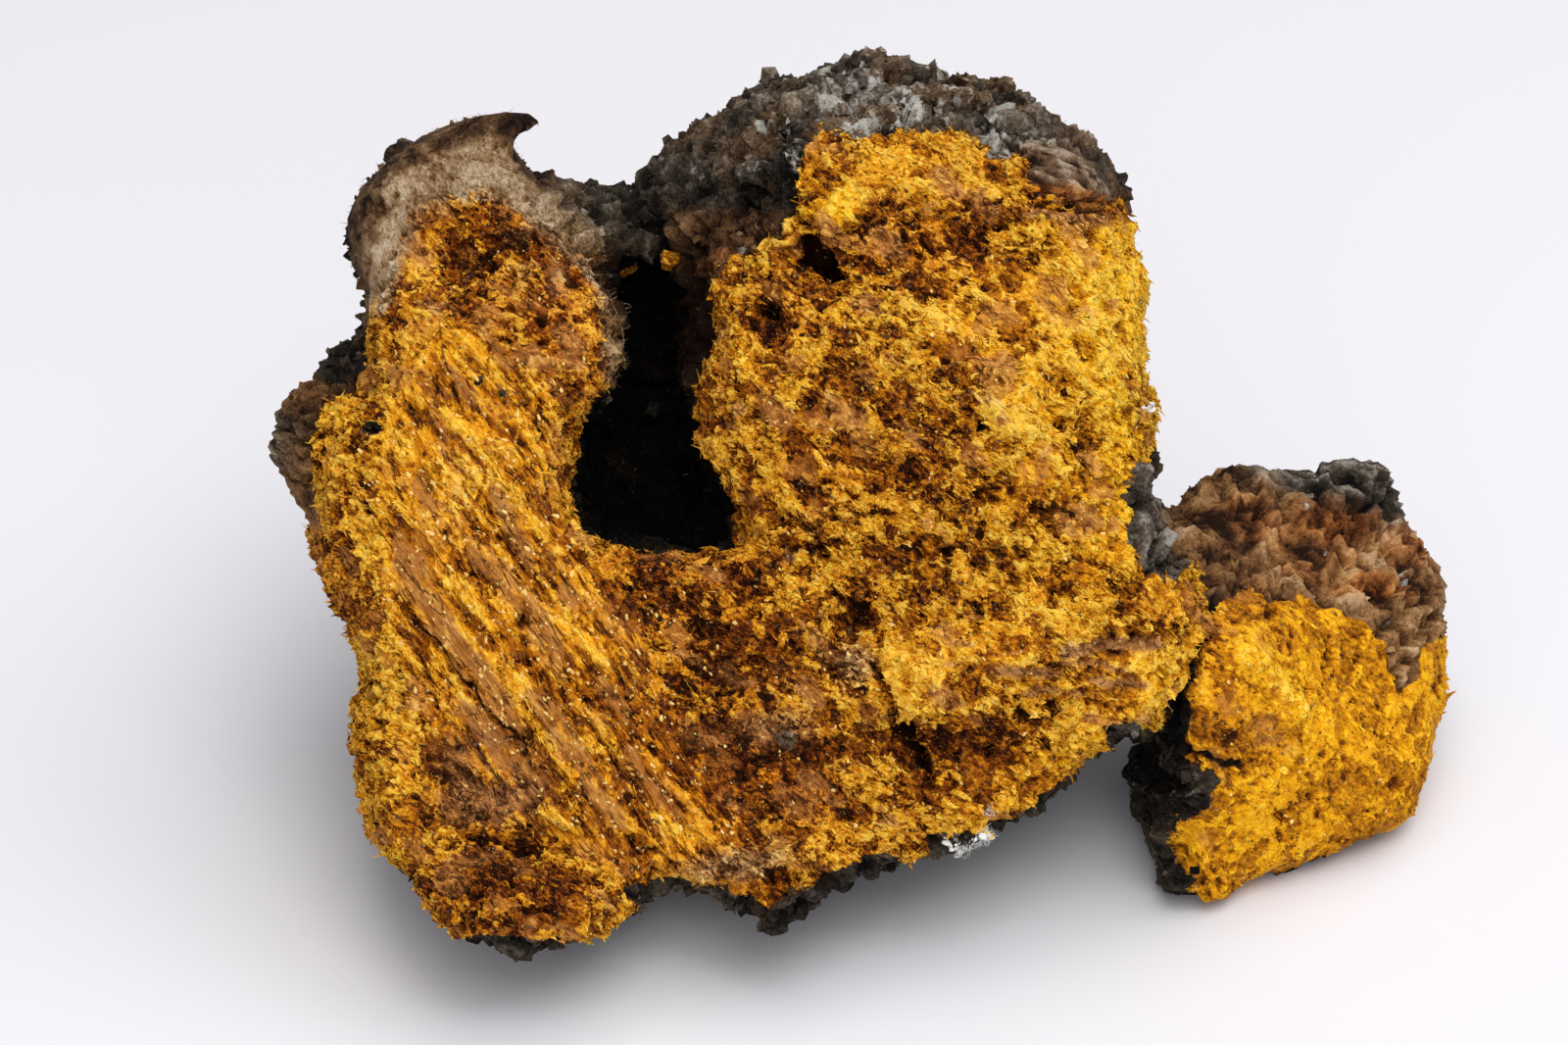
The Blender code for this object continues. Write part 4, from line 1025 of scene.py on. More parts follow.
    # Pale dust over the crust, with painted light in it: more on upward faces and on the blocks' lips (painted
    # highlight as well as dust), less at their feet and on faces turned down (painted shade).
    dust = (upward * (0.10 + 0.20 * crown) + 0.55 * grain(points, 4.2, 58) + 0.36 * grain(points, 1.6, 59)
            - 0.15 * gap + 0.15 * (c_crest - 0.4) - 0.5 * soft_crust - 0.12 * lobe_top + 0.10 * c_lip - 0.15 * c_foot)
    dust -= 0.3 * inside(col0, row0, [(536, 186), (640, 180), (760, 240), (700, 330), (610, 290)], 12.0)
    dust -= 0.25 * oval(col0, row0, 1090, 150, 70, 46, 30, 3.0) * front
    dust = np.clip(dust, 0, 1) * (1.0 - hollow) * (1.0 - 0.6 * step(-normals[:, 2], 0.1, 0.6))
    # Patches of pale dust seen from the front; the small spot at (1421, 632) is a painted glint.
    for c, r, half_w, half_h, amount in (
        (775, 125, 22, 11, 1.0), (808, 165, 8, 20, 1.0), (872, 128, 16, 7, 1.3), (928, 110, 28, 13, 1.3),
        (980, 88, 28, 12, 1.1), (1042, 140, 8, 10, 1.2), (892, 82, 18, 11, 1.1), (1176, 418, 9, 20, 1.0),
        (840, 88, 26, 10, 0.9), (1020, 110, 22, 12, 1.0), (800, 130, 14, 9, 0.9), (1060, 96, 16, 8, 0.8),
        (905, 96, 40, 10, 0.8), (950, 72, 40, 9, 0.8), (1004, 92, 18, 9, 0.8), (862, 108, 18, 8, 0.8),
        (1180, 570, 36, 24, 0.45), (1421, 632, 9, 6, 0.9), (1354, 512, 5, 6, 0.9)):
        dust = np.maximum(dust, amount * oval(col, row, c, r, half_w, half_h, 0, 1.4) * seen * (0.7 + 0.7 * grain(q, 0.8, 60)))
    # The crack carries the crust's dark colour as painted shade.
    values = {
        "crust": np.maximum(np.maximum(crust, clot), np.maximum(crack, 0.85 * seam)),
        "tone": tone,
        "score": score,
        "tan": tan * flesh,
        "rust": rust,
        "lemon": lemon,
        "pink": pink,
        "crust_tone": c_tone,
        "dust": np.clip(dust, 0, 1) * (1.0 - 0.9 * pink),
        "umber": umber,
        "fibrous": fib * flesh,
        "calm": np.clip(np.maximum(np.maximum(0.9 * honey, 0.8 * lobe), 0.75 * quiet), 0, 1),
    }
    return total, values


def add_values(mesh, values):
    for name, value in values.items():
        made = mesh.attributes.new(name, "FLOAT", "POINT")
        made.data.foreach_set("value", value.astype(np.float32))


def read_value(mesh, name):
    out = np.empty(len(mesh.vertices), np.float32)
    mesh.attributes[name].data.foreach_get("value", out)
    return out.astype(float)


def body():
    fine = fine_skin()
    points, normals = array_of(fine, "co") * 1000.0, array_of(fine, "normal")
    height, values = relief(points, normals)
    moved = points + normals * height[:, None]
    moved[:, 2] = np.maximum(moved[:, 2], 0.0)
    fine.vertices.foreach_set("co", (moved * 0.001).astype(np.float32).ravel())
    add_values(fine, values)
    fine.update()
    obj = scratch_object(fine, "chaga_source")
    triangles = sum(len(p.vertices) - 2 for p in fine.polygons)
    print("skin triangles before thinning", triangles)
    thin = obj.modifiers.new("thin", "DECIMATE")
    thin.ratio = min(1.0, SKIN_FACES / triangles)
    thin.use_collapse_triangulate = True
    mesh = evaluated(obj, "chaga_body")
    bpy.data.objects.remove(obj)
    mesh.materials.clear()
    mesh.shade_smooth()
    made = scratch_object(mesh, "chaga_body")
    print("body triangles", sum(len(p.vertices) - 2 for p in mesh.polygons), "attributes", [a.name for a in mesh.attributes])
    return made


# ---------------------------------------------------------------- materials
class Nodes:
    """Short calls for building a material's nodes."""

    def __init__(self, name):
        self.material = bpy.data.materials.new(name)
        self.material.use_nodes = True
        self.tree = self.material.node_tree
        self.tree.nodes.clear()
        self.output = self.tree.nodes.new("ShaderNodeOutputMaterial")
        coordinates = self.tree.nodes.new("ShaderNodeTexCoord")
        scale = self.tree.nodes.new("ShaderNodeVectorMath")
        scale.operation = "SCALE"
        scale.inputs["Scale"].default_value = 1000.0
        self.tree.links.new(coordinates.outputs["Object"], scale.inputs[0])
        self.place = scale.outputs[0]

    def put(self, socket, value):
        if isinstance(value, bpy.types.NodeSocket):
            self.tree.links.new(value, socket)
        elif isinstance(value, tuple) and len(value) == 3:
            socket.default_value = (*value, 1.0)
        else:
            socket.default_value = value

    def value(self, name):
        node = self.tree.nodes.new("ShaderNodeAttribute")
        node.attribute_name = name
        return node.outputs["Fac"]

    def math(self, operation, a, b=None, clamp=False):
        node = self.tree.nodes.new("ShaderNodeMath")
        node.operation = operation
        node.use_clamp = clamp
        self.put(node.inputs[0], a)
        if b is not None:
            self.put(node.inputs[1], b)
        return node.outputs[0]

    def spread(self, value, low, high, to_low=0.0, to_high=1.0):
        node = self.tree.nodes.new("ShaderNodeMapRange")
        node.clamp = True
        self.put(node.inputs["Value"], value)
        node.inputs["From Min"].default_value = low
        node.inputs["From Max"].default_value = high
        node.inputs["To Min"].default_value = to_low
        node.inputs["To Max"].default_value = to_high
        return node.outputs["Result"]

    def mix(self, share, a, b, blend="MIX"):
        node = self.tree.nodes.new("ShaderNodeMix")
        node.data_type = "RGBA"
        node.blend_type = blend
        node.clamp_factor = True
        self.put(node.inputs[0], share)
        self.put(node.inputs[6], a)
        self.put(node.inputs[7], b)
        return node.outputs[2]

    def between(self, share, a, b):
        node = self.tree.nodes.new("ShaderNodeMix")
        node.clamp_factor = True
        self.put(node.inputs[0], share)
        self.put(node.inputs[2], a)
        self.put(node.inputs[3], b)
        return node.outputs[0]

    def drawn(self, degrees, stretch):
        """The place drawn out along fibres that fall by degrees to the right."""
        a = math.radians(degrees)
        up = np.array((0.0, math.sin(LEAN), math.cos(LEAN)))
        right = np.array((1.0, 0.0, 0.0))
        along = (right * math.cos(a) - up * math.sin(a)) / stretch
        across = right * math.sin(a) + up * math.cos(a)
        out = self.tree.nodes.new("ShaderNodeCombineXYZ")
        for socket, axis in zip(out.inputs, (along, across, TOWARD)):
            dot = self.tree.nodes.new("ShaderNodeVectorMath")
            dot.operation = "DOT_PRODUCT"
            self.tree.links.new(self.place, dot.inputs[0])
            dot.inputs[1].default_value = tuple(float(v) for v in axis)
            self.tree.links.new(dot.outputs["Value"], socket)
        return out.outputs[0]

    def noise(self, size, detail=2.0, rough=0.5, distortion=0.0, place=None):
        """Noise with features about size mm wide, 0 to 1."""
        node = self.tree.nodes.new("ShaderNodeTexNoise")
        self.tree.links.new(place or self.place, node.inputs["Vector"])
        node.inputs["Scale"].default_value = 1.0 / size
        node.inputs["Detail"].default_value = detail
        node.inputs["Roughness"].default_value = rough
        node.inputs["Distortion"].default_value = distortion
        return node.outputs[0]

    def voronoi(self, size, feature="F1", output="Distance", place=None):
        node = self.tree.nodes.new("ShaderNodeTexVoronoi")
        node.feature = feature
        self.tree.links.new(place or self.place, node.inputs["Vector"])
        node.inputs["Scale"].default_value = 1.0 / size
        return node.outputs[output]

    def ramp(self, share, stops):
        node = self.tree.nodes.new("ShaderNodeValToRGB")
        self.put(node.inputs[0], share)
        elements = node.color_ramp.elements
        while len(elements) < len(stops):
            elements.new(0.5)
        for element, (place, colour) in zip(elements, stops):
            element.position = place
            element.color = (*tint(colour), 1.0)
        return node.outputs[0]

    def bump(self, height, distance, strength=1.0, normal=None):
        node = self.tree.nodes.new("ShaderNodeBump")
        node.inputs["Distance"].default_value = distance
        node.inputs["Strength"].default_value = strength
        self.put(node.inputs["Height"], height)
        if normal is not None:
            self.tree.links.new(normal, node.inputs["Normal"])
        return node.outputs[0]

    def shader(self, colour, rough, normal=None, specular=0.35):
        node = self.tree.nodes.new("ShaderNodeBsdfPrincipled")
        self.put(node.inputs["Base Color"], colour)
        self.put(node.inputs["Roughness"], rough)
        node.inputs["Specular IOR Level"].default_value = specular
        if normal is not None:
            self.tree.links.new(normal, node.inputs["Normal"])
        return node.outputs[0]


def tint(colour):
    """An sRGB colour in 0 to 255 as linear light."""
    out = []
    for v in colour:
        v /= 255.0
        out.append(v / 12.92 if v <= 0.04045 else ((v + 0.055) / 1.055) ** 2.4)
    return tuple(out)


FLESH_RAMP = [
    (0.00, (44, 15, 2)),
    (0.14, (86, 36, 3)),
    (0.28, (126, 62, 6)),
    (0.42, (162, 90, 11)),
    (0.56, (196, 120, 15)),
    (0.70, (224, 148, 21)),
    (0.82, (240, 168, 31)),
    (0.92, (249, 186, 42)),
    (1.00, (254, 206, 78)),
]
LEMON_RAMP = [
    (0.00, (72, 34, 3)),
    (0.14, (126, 70, 5)),
    (0.28, (166, 102, 6)),
    (0.42, (196, 128, 9)),
    (0.56, (222, 151, 11)),
    (0.70, (238, 171, 15)),
    (0.82, (247, 187, 26)),
    (0.92, (252, 200, 40)),
    (1.00, (254, 213, 78)),
]
RUST_RAMP = [
    (0.00, (38, 12, 2)),
    (0.25, (92, 38, 5)),
    (0.50, (156, 76, 9)),
    (0.75, (214, 126, 20)),
    (1.00, (246, 182, 62)),
]
MAUVE_RAMP = [
    (0.00, (34, 17, 12)),
    (0.30, (92, 54, 36)),
    (0.60, (148, 102, 72)),
    (1.00, (218, 180, 142)),
]
HOT_RAMP = [
    (0.00, (42, 18, 6)),
    (0.30, (98, 50, 18)),
    (0.60, (160, 94, 40)),
    (1.00, (216, 154, 88)),
]
TAN_RAMP = [
    (0.00, (64, 34, 12)),
    (0.25, (116, 68, 26)),
    (0.50, (160, 101, 44)),
    (0.75, (192, 134, 66)),
    (1.00, (238, 200, 130)),
]
PINK_RAMP = [
    (0.00, (84, 50, 20)),
    (0.20, (112, 80, 46)),
    (0.40, (146, 112, 74)),
    (0.60, (174, 142, 106)),
    (0.80, (192, 163, 130)),
    (1.00, (212, 190, 160)),
]
CRUST_RAMP = [
    (0.00, (10, 8, 7)),
    (0.25, (28, 24, 19)),
    (0.50, (57, 49, 41)),
    (0.75, (94, 84, 72)),
    (1.00, (150, 142, 132)),
]
UMBER_RAMP = [
    (0.00, (34, 20, 10)),
    (0.25, (80, 50, 28)),
    (0.50, (124, 86, 50)),
    (0.75, (158, 118, 76)),
    (1.00, (194, 160, 122)),
]


def crust_look(n, tone, dust, umber):
    """Colour, bump height and pale cover of the crust."""
    fine = n.noise(0.42, 3.0, 0.62)
    grit = n.noise(0.16, 2.0, 0.6)
    level = n.math("ADD", tone, n.math("MULTIPLY", n.math("SUBTRACT", fine, 0.5), 0.9))
    level = n.math("ADD", level, n.math("MULTIPLY", n.math("SUBTRACT", grit, 0.5), 0.5))
    felt = n.math("MULTIPLY", n.math("SUBTRACT", n.noise(0.24, 3.0, 0.7, 0.6, n.drawn(62, 2.6)), 0.5), n.value("pink"))
    level = n.math("ADD", level, n.math("MULTIPLY", felt, 2.2))
    colour = n.ramp(level, CRUST_RAMP)
    colour = n.mix(umber, colour, n.ramp(level, UMBER_RAMP))
    colour = n.mix(n.value("rust"), colour, n.ramp(level, HOT_RAMP))
    colour = n.mix(n.value("pink"), colour, n.ramp(level, PINK_RAMP))
    # Pale dust, partly painted highlight, covers the crust in patches.
    powder = n.noise(0.9, 4.0, 0.65)
    cover = n.spread(n.math("ADD", dust, n.math("MULTIPLY", n.math("SUBTRACT", powder, 0.5), 1.6)), 0.52, 0.84, 0.0, 0.88)
    pale_coat_and_highlight = n.mix(n.spread(n.noise(1.6, 2.0), 0.4, 0.6), tint((178, 174, 162)), tint((206, 204, 197)))
    colour = n.mix(cover, colour, pale_coat_and_highlight)
    glints = n.spread(n.voronoi(0.34), 0.0, 0.14, 1.0, 0.0)
    keep = n.spread(n.noise(1.3, 1.0), 0.5, 0.62)
    colour = n.mix(n.math("MULTIPLY", n.math("MULTIPLY", glints, keep), 0.55), colour, tint((190, 188, 184)))
    height = n.math("ADD", n.math("MULTIPLY", fine, 1.0), n.math("MULTIPLY", grit, 0.45))
    height = n.math("ADD", height, n.math("MULTIPLY", felt, 1.6))
    return colour, height, cover


def flesh_look(n):
    """Colour and bump height of the fracture."""
    fibrous = n.spread(n.value("fibrous"), 0.25, 0.75)
    smooth = n.value("tan")
    slant, steep = n.drawn(34, 1.7), n.drawn(54, 3.4)

    def woven(size, detail, rough, distortion):
        return n.between(fibrous, n.noise(size, detail, rough, distortion, slant),
                         n.noise(size, detail, rough, distortion, steep))

    def off_middle(value, amount):
        return n.math("MULTIPLY", n.math("SUBTRACT", value, 0.5), amount)

    # thin torn threads, crumbs and powder
    thread = n.math("SUBTRACT", 1.0, n.math("MULTIPLY", n.math("ABSOLUTE", n.math("SUBTRACT", woven(0.66, 2.0, 0.55, 0.5), 0.5)), 7.0), clamp=True)
    fine = woven(0.30, 3.0, 0.65, 0.3)
    speck = n.noise(0.13, 2.0, 0.6)
    flaky = n.spread(fine, 0.37, 0.63)
    rough = n.math("ADD", off_middle(thread, 0.34), off_middle(flaky, 0.40))
    rough = n.math("ADD", rough, off_middle(speck, 0.85))
    calm = n.math("MULTIPLY", n.spread(smooth, 0.0, 1.0, 1.0, 0.36), n.spread(n.value("calm"), 0.0, 1.0, 1.0, 0.5))
    calm = n.math("MULTIPLY", calm, n.between(fibrous, 1.0, 0.72))
    level = n.math("ADD", n.value("tone"), n.math("MULTIPLY", rough, calm))
    # bright powder lies in patches with crisp torn edges
    torn = n.math("ADD", n.value("score"), n.math("ADD", off_middle(fine, 2.4), off_middle(thread, 0.35)))
    powder = n.spread(torn, -0.15, 0.15)
    share = n.math("MULTIPLY", n.between(fibrous, 0.36, 0.22), n.spread(n.value("calm"), 0.0, 1.0, 1.0, 0.55))
    share = n.math("MULTIPLY", share, n.spread(smooth, 0.0, 1.0, 1.0, 0.4))
    level = n.math("ADD", level, n.math("MULTIPLY", n.math("SUBTRACT", powder, 0.5), share))
    # streaks along the smooth bands, and thin cracks along the fibres darkened as painted shade
    streak = n.noise(0.20, 2.0, 0.6, 0.2, n.drawn(54, 9.0))
    level = n.math("ADD", level, n.math("MULTIPLY", off_middle(streak, 0.9), smooth))
    seam = n.between(fibrous, n.noise(1.15, 2.0, 0.5, 0.3, n.drawn(36, 3.0)), n.noise(1.05, 2.0, 0.5, 0.3, n.drawn(55, 5.0)))
    crack = n.math("SUBTRACT", 1.0, n.math("MULTIPLY", n.math("ABSOLUTE", n.math("SUBTRACT", seam, 0.47)), 34.0), clamp=True)
    crack = n.math("MULTIPLY", crack, n.spread(n.noise(1.5, 1.0), 0.44, 0.54))
    crack = n.math("MULTIPLY", crack, n.spread(n.value("calm"), 0.0, 1.0, 1.0, 0.2))
    level = n.math("SUBTRACT", level, n.math("MULTIPLY", crack, 0.42))
    colour = n.mix(n.value("lemon"), n.ramp(level, FLESH_RAMP), n.ramp(level, LEMON_RAMP))
    colour = n.mix(n.value("rust"), colour, n.ramp(level, RUST_RAMP))
    # patches of rustier and of greyish-mauve flesh
    rusty = n.math("MULTIPLY", n.spread(n.noise(0.85, 2.0, 0.6), 0.52, 0.64), 0.55)
    rusty = n.math("MULTIPLY", rusty, n.spread(n.value("calm"), 0.0, 1.0, 1.0, 0.3))
    colour = n.mix(rusty, colour, n.ramp(level, RUST_RAMP))
    greyish = n.math("MULTIPLY", n.spread(n.noise(0.95, 3.0, 0.65), 0.55, 0.62), n.spread(level, 0.36, 0.66, 0.5, 0.0))
    greyish = n.math("MULTIPLY", greyish, n.spread(n.value("calm"), 0.0, 1.0, 1.0, 0.2))
    colour = n.mix(greyish, colour, n.ramp(level, MAUVE_RAMP))
    colour = n.mix(n.math("MULTIPLY", smooth, 0.92), colour, n.ramp(n.spread(level, 0.0, 1.0, 0.08, 0.92), TAN_RAMP))
    colour = n.mix(n.value("pink"), colour, n.ramp(level, PINK_RAMP))
    # painted glints: bright specks standing in for highlight, and a few blue-grey grains
    glints = n.math("MULTIPLY", n.spread(n.voronoi(0.30), 0.10, 0.20, 1.0, 0.0), n.spread(n.voronoi(0.30, output="Color"), 0.66, 0.70))
    colour = n.mix(n.math("MULTIPLY", glints, 0.70), colour, tint((253, 212, 116)))
    slate = n.math("MULTIPLY", n.spread(n.voronoi(0.9), 0.10, 0.17, 1.0, 0.0), n.spread(n.voronoi(0.9, output="Color"), 0.64, 0.66))
    colour = n.mix(n.math("MULTIPLY", slate, 0.8), colour, tint((70, 72, 74)))
    # pale flecks, and pinholes darkened as painted shade
    flecks = n.spread(n.voronoi(0.62), 0.10, 0.26, 1.0, 0.0)
    some = n.spread(n.voronoi(0.62, output="Color"), 0.54, 0.60)
    flecks = n.math("MULTIPLY", n.math("MULTIPLY", flecks, some), n.between(fibrous, 0.36, 0.8))
    colour = n.mix(flecks, colour, tint((244, 212, 130)))
    holes = n.spread(n.voronoi(0.62), 0.10, 0.24, 1.0, 0.0)
    few = n.spread(n.noise(1.4, 1.0), 0.50, 0.58)
    holes = n.math("MULTIPLY", n.math("MULTIPLY", holes, few), n.spread(smooth, 0.0, 0.6, 0.8, 0.1))
    colour = n.mix(holes, colour, tint((58, 24, 4)))
    height = n.math("ADD", fine, n.math("MULTIPLY", speck, 0.5))
    height = n.math("MULTIPLY", n.math("ADD", height, n.math("MULTIPLY", thread, 0.30)), calm)
    height = n.math("ADD", height, n.math("MULTIPLY", flecks, 0.25))
    height = n.math("ADD", height, n.math("MULTIPLY", n.math("MULTIPLY", streak, smooth), 0.45))
    height = n.math("SUBTRACT", height, n.math("MULTIPLY", holes, 0.6))
    height = n.math("SUBTRACT", height, n.math("MULTIPLY", crack, 0.7))
    return colour, height


def body_material():
    n = Nodes("chaga_surface")
    flesh_colour, flesh_height = flesh_look(n)
    crust_colour, crust_height, cover = crust_look(n, n.value("crust_tone"), n.value("dust"), n.value("umber"))
    edge = n.math("ADD", n.value("crust"), n.math("MULTIPLY", n.math("SUBTRACT", n.noise(0.5, 3.0, 0.6), 0.5), 0.9))
    share = n.spread(edge, 0.40, 0.60)
    colour = n.mix(share, flesh_colour, crust_colour)
    normal = n.bump(n.between(share, flesh_height, crust_height), 0.00042, 1.0)
    rough = n.spread(n.noise(0.2, 1.0), 0.3, 0.7, 0.66, 0.95)
    n.put(n.output.inputs["Surface"], n.shader(colour, rough, normal, 0.09))
    return n.material


def plain_material(name, low, high, size=0.25, rough=0.8):
    """Two tones mixed by a fine noise, for the hairs, flecks and mould."""
    n = Nodes(name)
    share = n.spread(n.noise(size, 2.0, 0.6), 0.35, 0.65)
    colour = n.mix(share, tint(low), tint(high))
    normal = n.bump(n.noise(size * 0.5, 2.0, 0.6), 0.00008)
    n.put(n.output.inputs["Surface"], n.shader(colour, rough, normal, 0.15))
    return n.material


# ---------------------------------------------------------------- loose bits
def ball(subdivisions):
    """Corners and faces of an icosphere of radius 1."""
    bm = bmesh.new()
    bmesh.ops.create_icosphere(bm, subdivisions=subdivisions, radius=1.0)
    bm.verts.index_update()
    corners = np.array([v.co[:] for v in bm.verts])
    faces = np.array([[v.index for v in f.verts] for f in bm.faces])
    bm.free()
    return corners, faces


SHARD = (
    np.array(((1, 0, 0), (-1, 0, 0), (0, 1, 0), (0, -1, 0), (0, 0, 1), (0, 0, -1)), float),
    np.array(((0, 2, 4), (2, 1, 4), (1, 3, 4), (3, 0, 4), (2, 0, 5), (1, 2, 5), (3, 1, 5), (0, 3, 5))),
)
PLATE = (
    np.array([(math.cos(math.radians(60 * i)), math.sin(math.radians(60 * i)), 0.0) for i in range(6)]
             + [(0, 0, 1), (0, 0, -1)]),
    np.array([(i, (i + 1) % 6, 6) for i in range(6)] + [((i + 1) % 6, i, 7) for i in range(6)]),
)
BLOCK = (
    np.array(((-1, -1, -1), (1, -1, -1), (1, 1, -1), (-1, 1, -1), (-1, -1, 1), (1, -1, 1), (1, 1, 1), (-1, 1, 1)), float),
    np.array(((0, 2, 1), (0, 3, 2), (4, 5, 6), (4, 6, 7), (0, 1, 5), (0, 5, 4), (1, 2, 6), (1, 6, 5),
              (2, 3, 7), (2, 7, 6), (3, 0, 4), (3, 4, 7))),
)
LUMP = ball(1)


def unit(v):
    return v / np.maximum(np.linalg.norm(v, axis=-1, keepdims=True), 1e-9)


def fibre_way(degrees):
    """The way of fibres that fall by degrees to the right over the fracture."""
    a = np.radians(degrees)
    up = np.array((0.0, math.sin(LEAN), math.cos(LEAN)))
    return np.cos(a)[:, None] * np.array((1.0, 0.0, 0.0)) - np.sin(a)[:, None] * up


def axes_on(normals, ways):
    """Right-handed axes at each place: along the way, across it, and out."""
    x = unit(ways - (ways * normals).sum(1)[:, None] * normals)
    return np.stack((x, np.cross(normals, x), normals), 1)


def turns(ax, ay, az):
    """Rotations about x, then y, then z, for rows of corners."""
    n, one, nil = len(ax), np.ones(len(ax)), np.zeros(len(ax))

    def stack(*rows):
        return np.stack([np.stack(r, 1) for r in rows], 1)

    cx, sx, cy, sy, cz, sz = np.cos(ax), np.sin(ax), np.cos(ay), np.sin(ay), np.cos(az), np.sin(az)
    rx = stack((one, nil, nil), (nil, cx, sx), (nil, -sx, cx))
    ry = stack((cy, nil, -sy), (nil, one, nil), (sy, nil, cy))
    rz = stack((cz, sz, nil), (-sz, cz, nil), (nil, nil, one))
    return rx @ ry @ rz


def joined(name, corners, faces, values, material, smooth=False):
    """One mesh of many small closed solids: corners (count, m, 3) in mm, faces of one."""
    n, m = corners.shape[:2]
    # A piece that would dip under the floor stands on it.
    lift = np.maximum(0.0, -corners[..., 2].min(axis=1))
    corners = corners + lift[:, None, None] * np.array((0.0, 0.0, 1.0))
    index = (faces[None] + (np.arange(n) * m)[:, None, None]).reshape(-1, 3)
    mesh = bpy.data.meshes.new(name)
    mesh.vertices.add(n * m)
    mesh.vertices.foreach_set("co", (corners.reshape(-1, 3) * 0.001).astype(np.float32).ravel())
    mesh.loops.add(index.size)
    mesh.loops.foreach_set("vertex_index", index.ravel().astype(np.int32))
    mesh.polygons.add(len(index))
    mesh.polygons.foreach_set("loop_start", np.arange(0, index.size, 3, dtype=np.int32))
    mesh.update(calc_edges=True)
    if smooth:
        mesh.shade_smooth()
    else:
        mesh.shade_flat()
    add_values(mesh, {key: np.repeat(value, m) for key, value in values.items()})
    mesh.materials.append(material)
    obj = scratch_object(mesh, name)
    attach(obj, "root")
    print(name, "triangles", len(index))
    return obj


class Skin:
    """The body's finished surface, for putting small things on it."""

    def __init__(self, mesh):
        self.corners = array_of(mesh, "co") * 1000.0
        self.out = array_of(mesh, "normal")
        loops = np.empty(len(mesh.loops), np.int32)
        mesh.loops.foreach_get("vertex_index", loops)
        self.faces = loops.reshape(-1, 3)
        self.values = {a.name: read_value(mesh, a.name) for a in mesh.attributes
                       if a.domain == "POINT" and a.data_type == "FLOAT"}
        a, b, c = (self.corners[self.faces[:, i]] for i in range(3))
        self.area = 0.5 * np.linalg.norm(np.cross(b - a, c - a), axis=1)
        self.tree = BVHTree.FromPolygons(self.corners.tolist(), self.faces.tolist())
        self.eye = SHIFT + np.array((0.0, 0.0, REST_HEIGHT)) + TOWARD * FAN

    def strewn(self, weight, count, rng):
        """Random places; the chance at each follows the weight of its corner."""
        chance = weight[self.faces].mean(1) * self.area
        pick = rng.choice(len(self.faces), count, p=chance / chance.sum())
        r1, r2 = np.sqrt(rng.random(count)), rng.random(count)
        share = np.stack((1 - r1, r1 * (1 - r2), r1 * r2), 1)
        corner = self.faces[pick]
        places = (self.corners[corner] * share[:, :, None]).sum(1)
        nearest = corner[np.arange(count), share.argmax(1)]
        return places, unit(self.out[nearest]), nearest

    def seen(self, col, row):
        """Where the front view meets the surface at a column and row."""
        way = unit(spot(col, row, 0.0) - self.eye)
        hit, normal, face, _ = self.tree.ray_cast(Vector(self.eye), Vector(way))
        if hit is None:
            return None
        corner = self.faces[face][0]
        return np.array(hit), unit(self.out[corner]), corner

    def look(self, nearest, **changes):
        """The values at some corners, with changes."""
        out = {name: value[nearest] for name, value in self.values.items()}
        out.update(changes)
        return out


def strands(paths, radius, tip=0.3):
    """Thin three-sided closed tubes along paths (count, points, 3) in mm."""
    n, k = paths.shape[:2]
    tangent = unit(np.gradient(paths, axis=1))
    reference = unit(np.cross(tangent[:, :1], tangent[:, -1:] + np.array((0.31, 0.57, 0.23))))
    side = unit(np.cross(tangent, np.broadcast_to(reference, tangent.shape)))
    other = np.cross(tangent, side)
    taper = np.linspace(1.0, tip, k)[None, :, None] * radius[:, None, None]
    rings = []
    for i in range(3):
        a = math.radians(120 * i)
        rings.append(paths + taper * (math.cos(a) * side + math.sin(a) * other))
    corners = np.stack(rings, 2).reshape(n, k * 3, 3)
    faces = []
    for i in range(k - 1):
        for j in range(3):
            a, b = i * 3 + j, i * 3 + (j + 1) % 3
            faces += [(a, b, b + 3), (a, b + 3, a + 3)]
    faces += [(0, 2, 1), (k * 3 - 3, k * 3 - 2, k * 3 - 1)]
    return corners, np.array(faces)


def curled(places, starts, length, points, curl, rng, droop=0.0):
    """Paths that start at places and wander."""
    n = len(places)
    path = [places - starts * 0.04]
    way = starts.copy()
    for _ in range(points - 1):
        way = unit(way + curl * rng.normal(size=(n, 3)) + np.array((0.0, 0.0, -droop)))
        path.append(path[-1] + way * (length / (points - 1))[:, None])
    out = np.stack(path, 1)
    out[..., 2] = np.maximum(out[..., 2], 0.12)
    return out


def sizes_of(rng, count, middle, spread, low, high):
    return np.clip(middle * np.exp(rng.normal(size=count) * spread), low, high)


